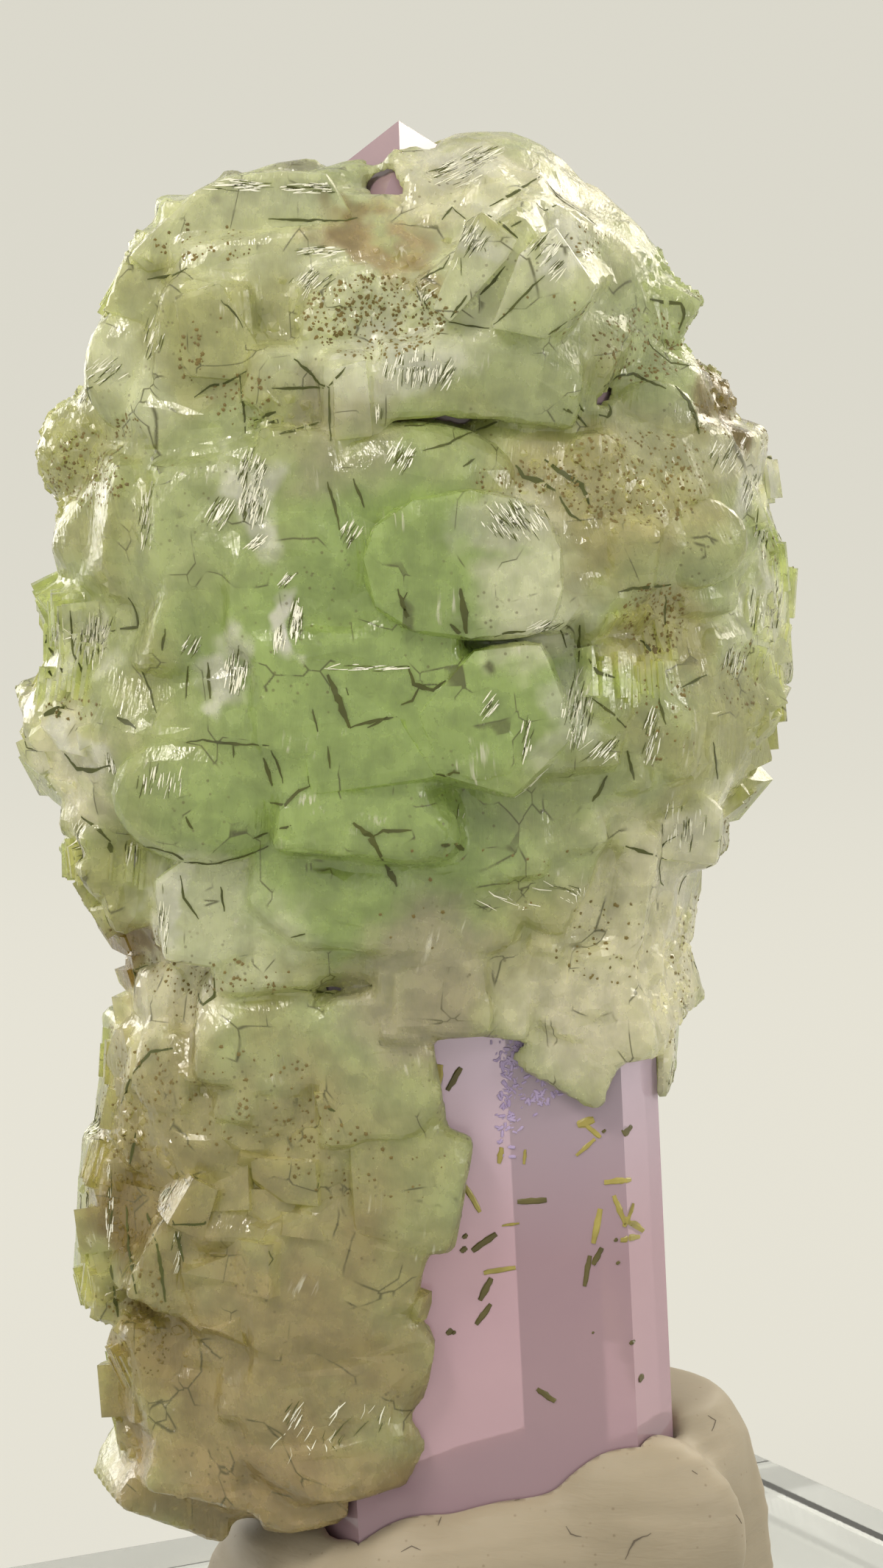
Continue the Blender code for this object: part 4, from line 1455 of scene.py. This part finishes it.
def streaked(surface, cx, cy, rx, ry, angle, count, turn=0):
    """A patch of thin plate ends side by side: painted highlight streaks, with dark strips of painted shade in
    the slots between them.
    """
    for i in range(2 * count):
        around = rng.uniform(0, 2 * math.pi)
        out = rng.random() ** 0.7
        px = cx + rx * out * math.cos(around)
        py = cy + ry * out * math.sin(around)
        lean = math.radians(angle + rng.gauss(0, 5))
        reach = rng.uniform(4, 13)
        dx, dy = reach * math.cos(lean), -reach * math.sin(lean)
        ends = [(px - dx, py - dy), (px, py), (px + dx, py + dy)]
        streaks = cracks_and_slot_shade if i % 3 == 0 else glint_streaks
        drawn_on(streaks, surface, ends, rng.uniform(0.04, 0.13) * MM, 0.05 * MM, turn, 8, 0.3)


def speckled(surface, cx, cy, rx, ry, count, turn=0):
    """A patch of small dark grains, half sunk in the surface."""
    for _ in range(count):
        around = rng.uniform(0, 2 * math.pi)
        out = math.sqrt(rng.random())
        pixel = (cx + rx * out * math.cos(around), cy + ry * out * math.sin(around))
        point, normal, _, _ = surface.ray_cast(*photo_ray(*pixel, turn))
        if point is None:
            continue
        size = rng.uniform(0.05, 0.16) * MM
        side = normal.orthogonal().normalized()
        other = normal.cross(side)
        ring = []
        for i in range(5):
            t = 2 * math.pi * i / 5 + around
            reach = size * rng.uniform(0.6, 1.3)
            spot = point + (side * math.cos(t) + other * math.sin(t)) * reach
            ring.append(specks_bm.verts.new(spot))
        top = specks_bm.verts.new(point + normal * 0.04 * MM)
        low = specks_bm.verts.new(point - normal * size)
        for i in range(5):
            specks_bm.faces.new((ring[i], ring[(i + 1) % 5], top))
            specks_bm.faces.new((ring[(i + 1) % 5], ring[i], low))


for width, *pixels in CRACKS:
    drawn_on(cracks_and_slot_shade, surface, pixels, width * FILM_SPREAD * MM, FILM_DEPTH)
for patch in GLINTS:
    streaked(surface, *patch)
for patch in SPECKLED:
    speckled(surface, *patch)
for turn in OTHER_SIDES:
    for _ in range(16):
        px, py = rng.uniform(200, 900), rng.uniform(250, 1900)
        lean, reach = rng.uniform(0, math.pi), rng.uniform(20, 50)
        bend = lean + rng.choice((-1.4, 1.4))
        line = [
            (px, py),
            (px + reach * math.cos(lean), py + reach * math.sin(lean)),
            (px + reach * (math.cos(lean) + math.cos(bend)),
             py + reach * (math.sin(lean) + math.sin(bend))),
        ]
        drawn_on(cracks_and_slot_shade, surface, line, rng.uniform(0.12, 0.28) * MM, FILM_DEPTH, turn)
    for _ in range(14):
        centre = (rng.uniform(150, 950), rng.uniform(220, 1950))
        sizes = (rng.uniform(8, 30), rng.uniform(10, 40))
        streaked(surface, *centre, *sizes, rng.gauss(80, 20), 14, turn)
    for _ in range(9):
        centre = (rng.uniform(150, 950), rng.uniform(220, 1950))
        speckled(surface, *centre, rng.uniform(40, 100), rng.uniform(30, 80), 45, turn)

# The dark finish serves both the iron-stained cracks and the painted shade in the slots between glint streaks.
iron_stain_and_slot_shade = mineral_material("iron_stain_and_slot_shade_dark", "31350f", "575c24", 0.7)
brown_grain = mineral_material("brown_iron_grains", "544a1e", "86733a", 0.6)
# The glint streaks are painted highlights: a near-white finish laid on the surface.
glint_white_finish = mineral_material("painted_glint_white", "e4e2c4", "fdfcf2", 0.25)
finished_piece("prehnite_crack_films", cracks_and_slot_shade, iron_stain_and_slot_shade)
finished_piece("prehnite_pearly_edges", glint_streaks, glint_white_finish)
finished_piece("prehnite_iron_grains", specks_bm, brown_grain)

# The lint: short dark fibres and dust that stuck to the putty while it was kneaded.
lint = bmesh.new()
putty_surface = surface_of(putty_mesh)
for line in LINT:
    drawn_on(lint, putty_surface, line, 0.12 * MM, 0.05 * MM)
lint_fibre = mineral_material("dark_lint", "4a4136", "7d7263", 0.8)
finished_piece("putty_lint", lint, lint_fibre)
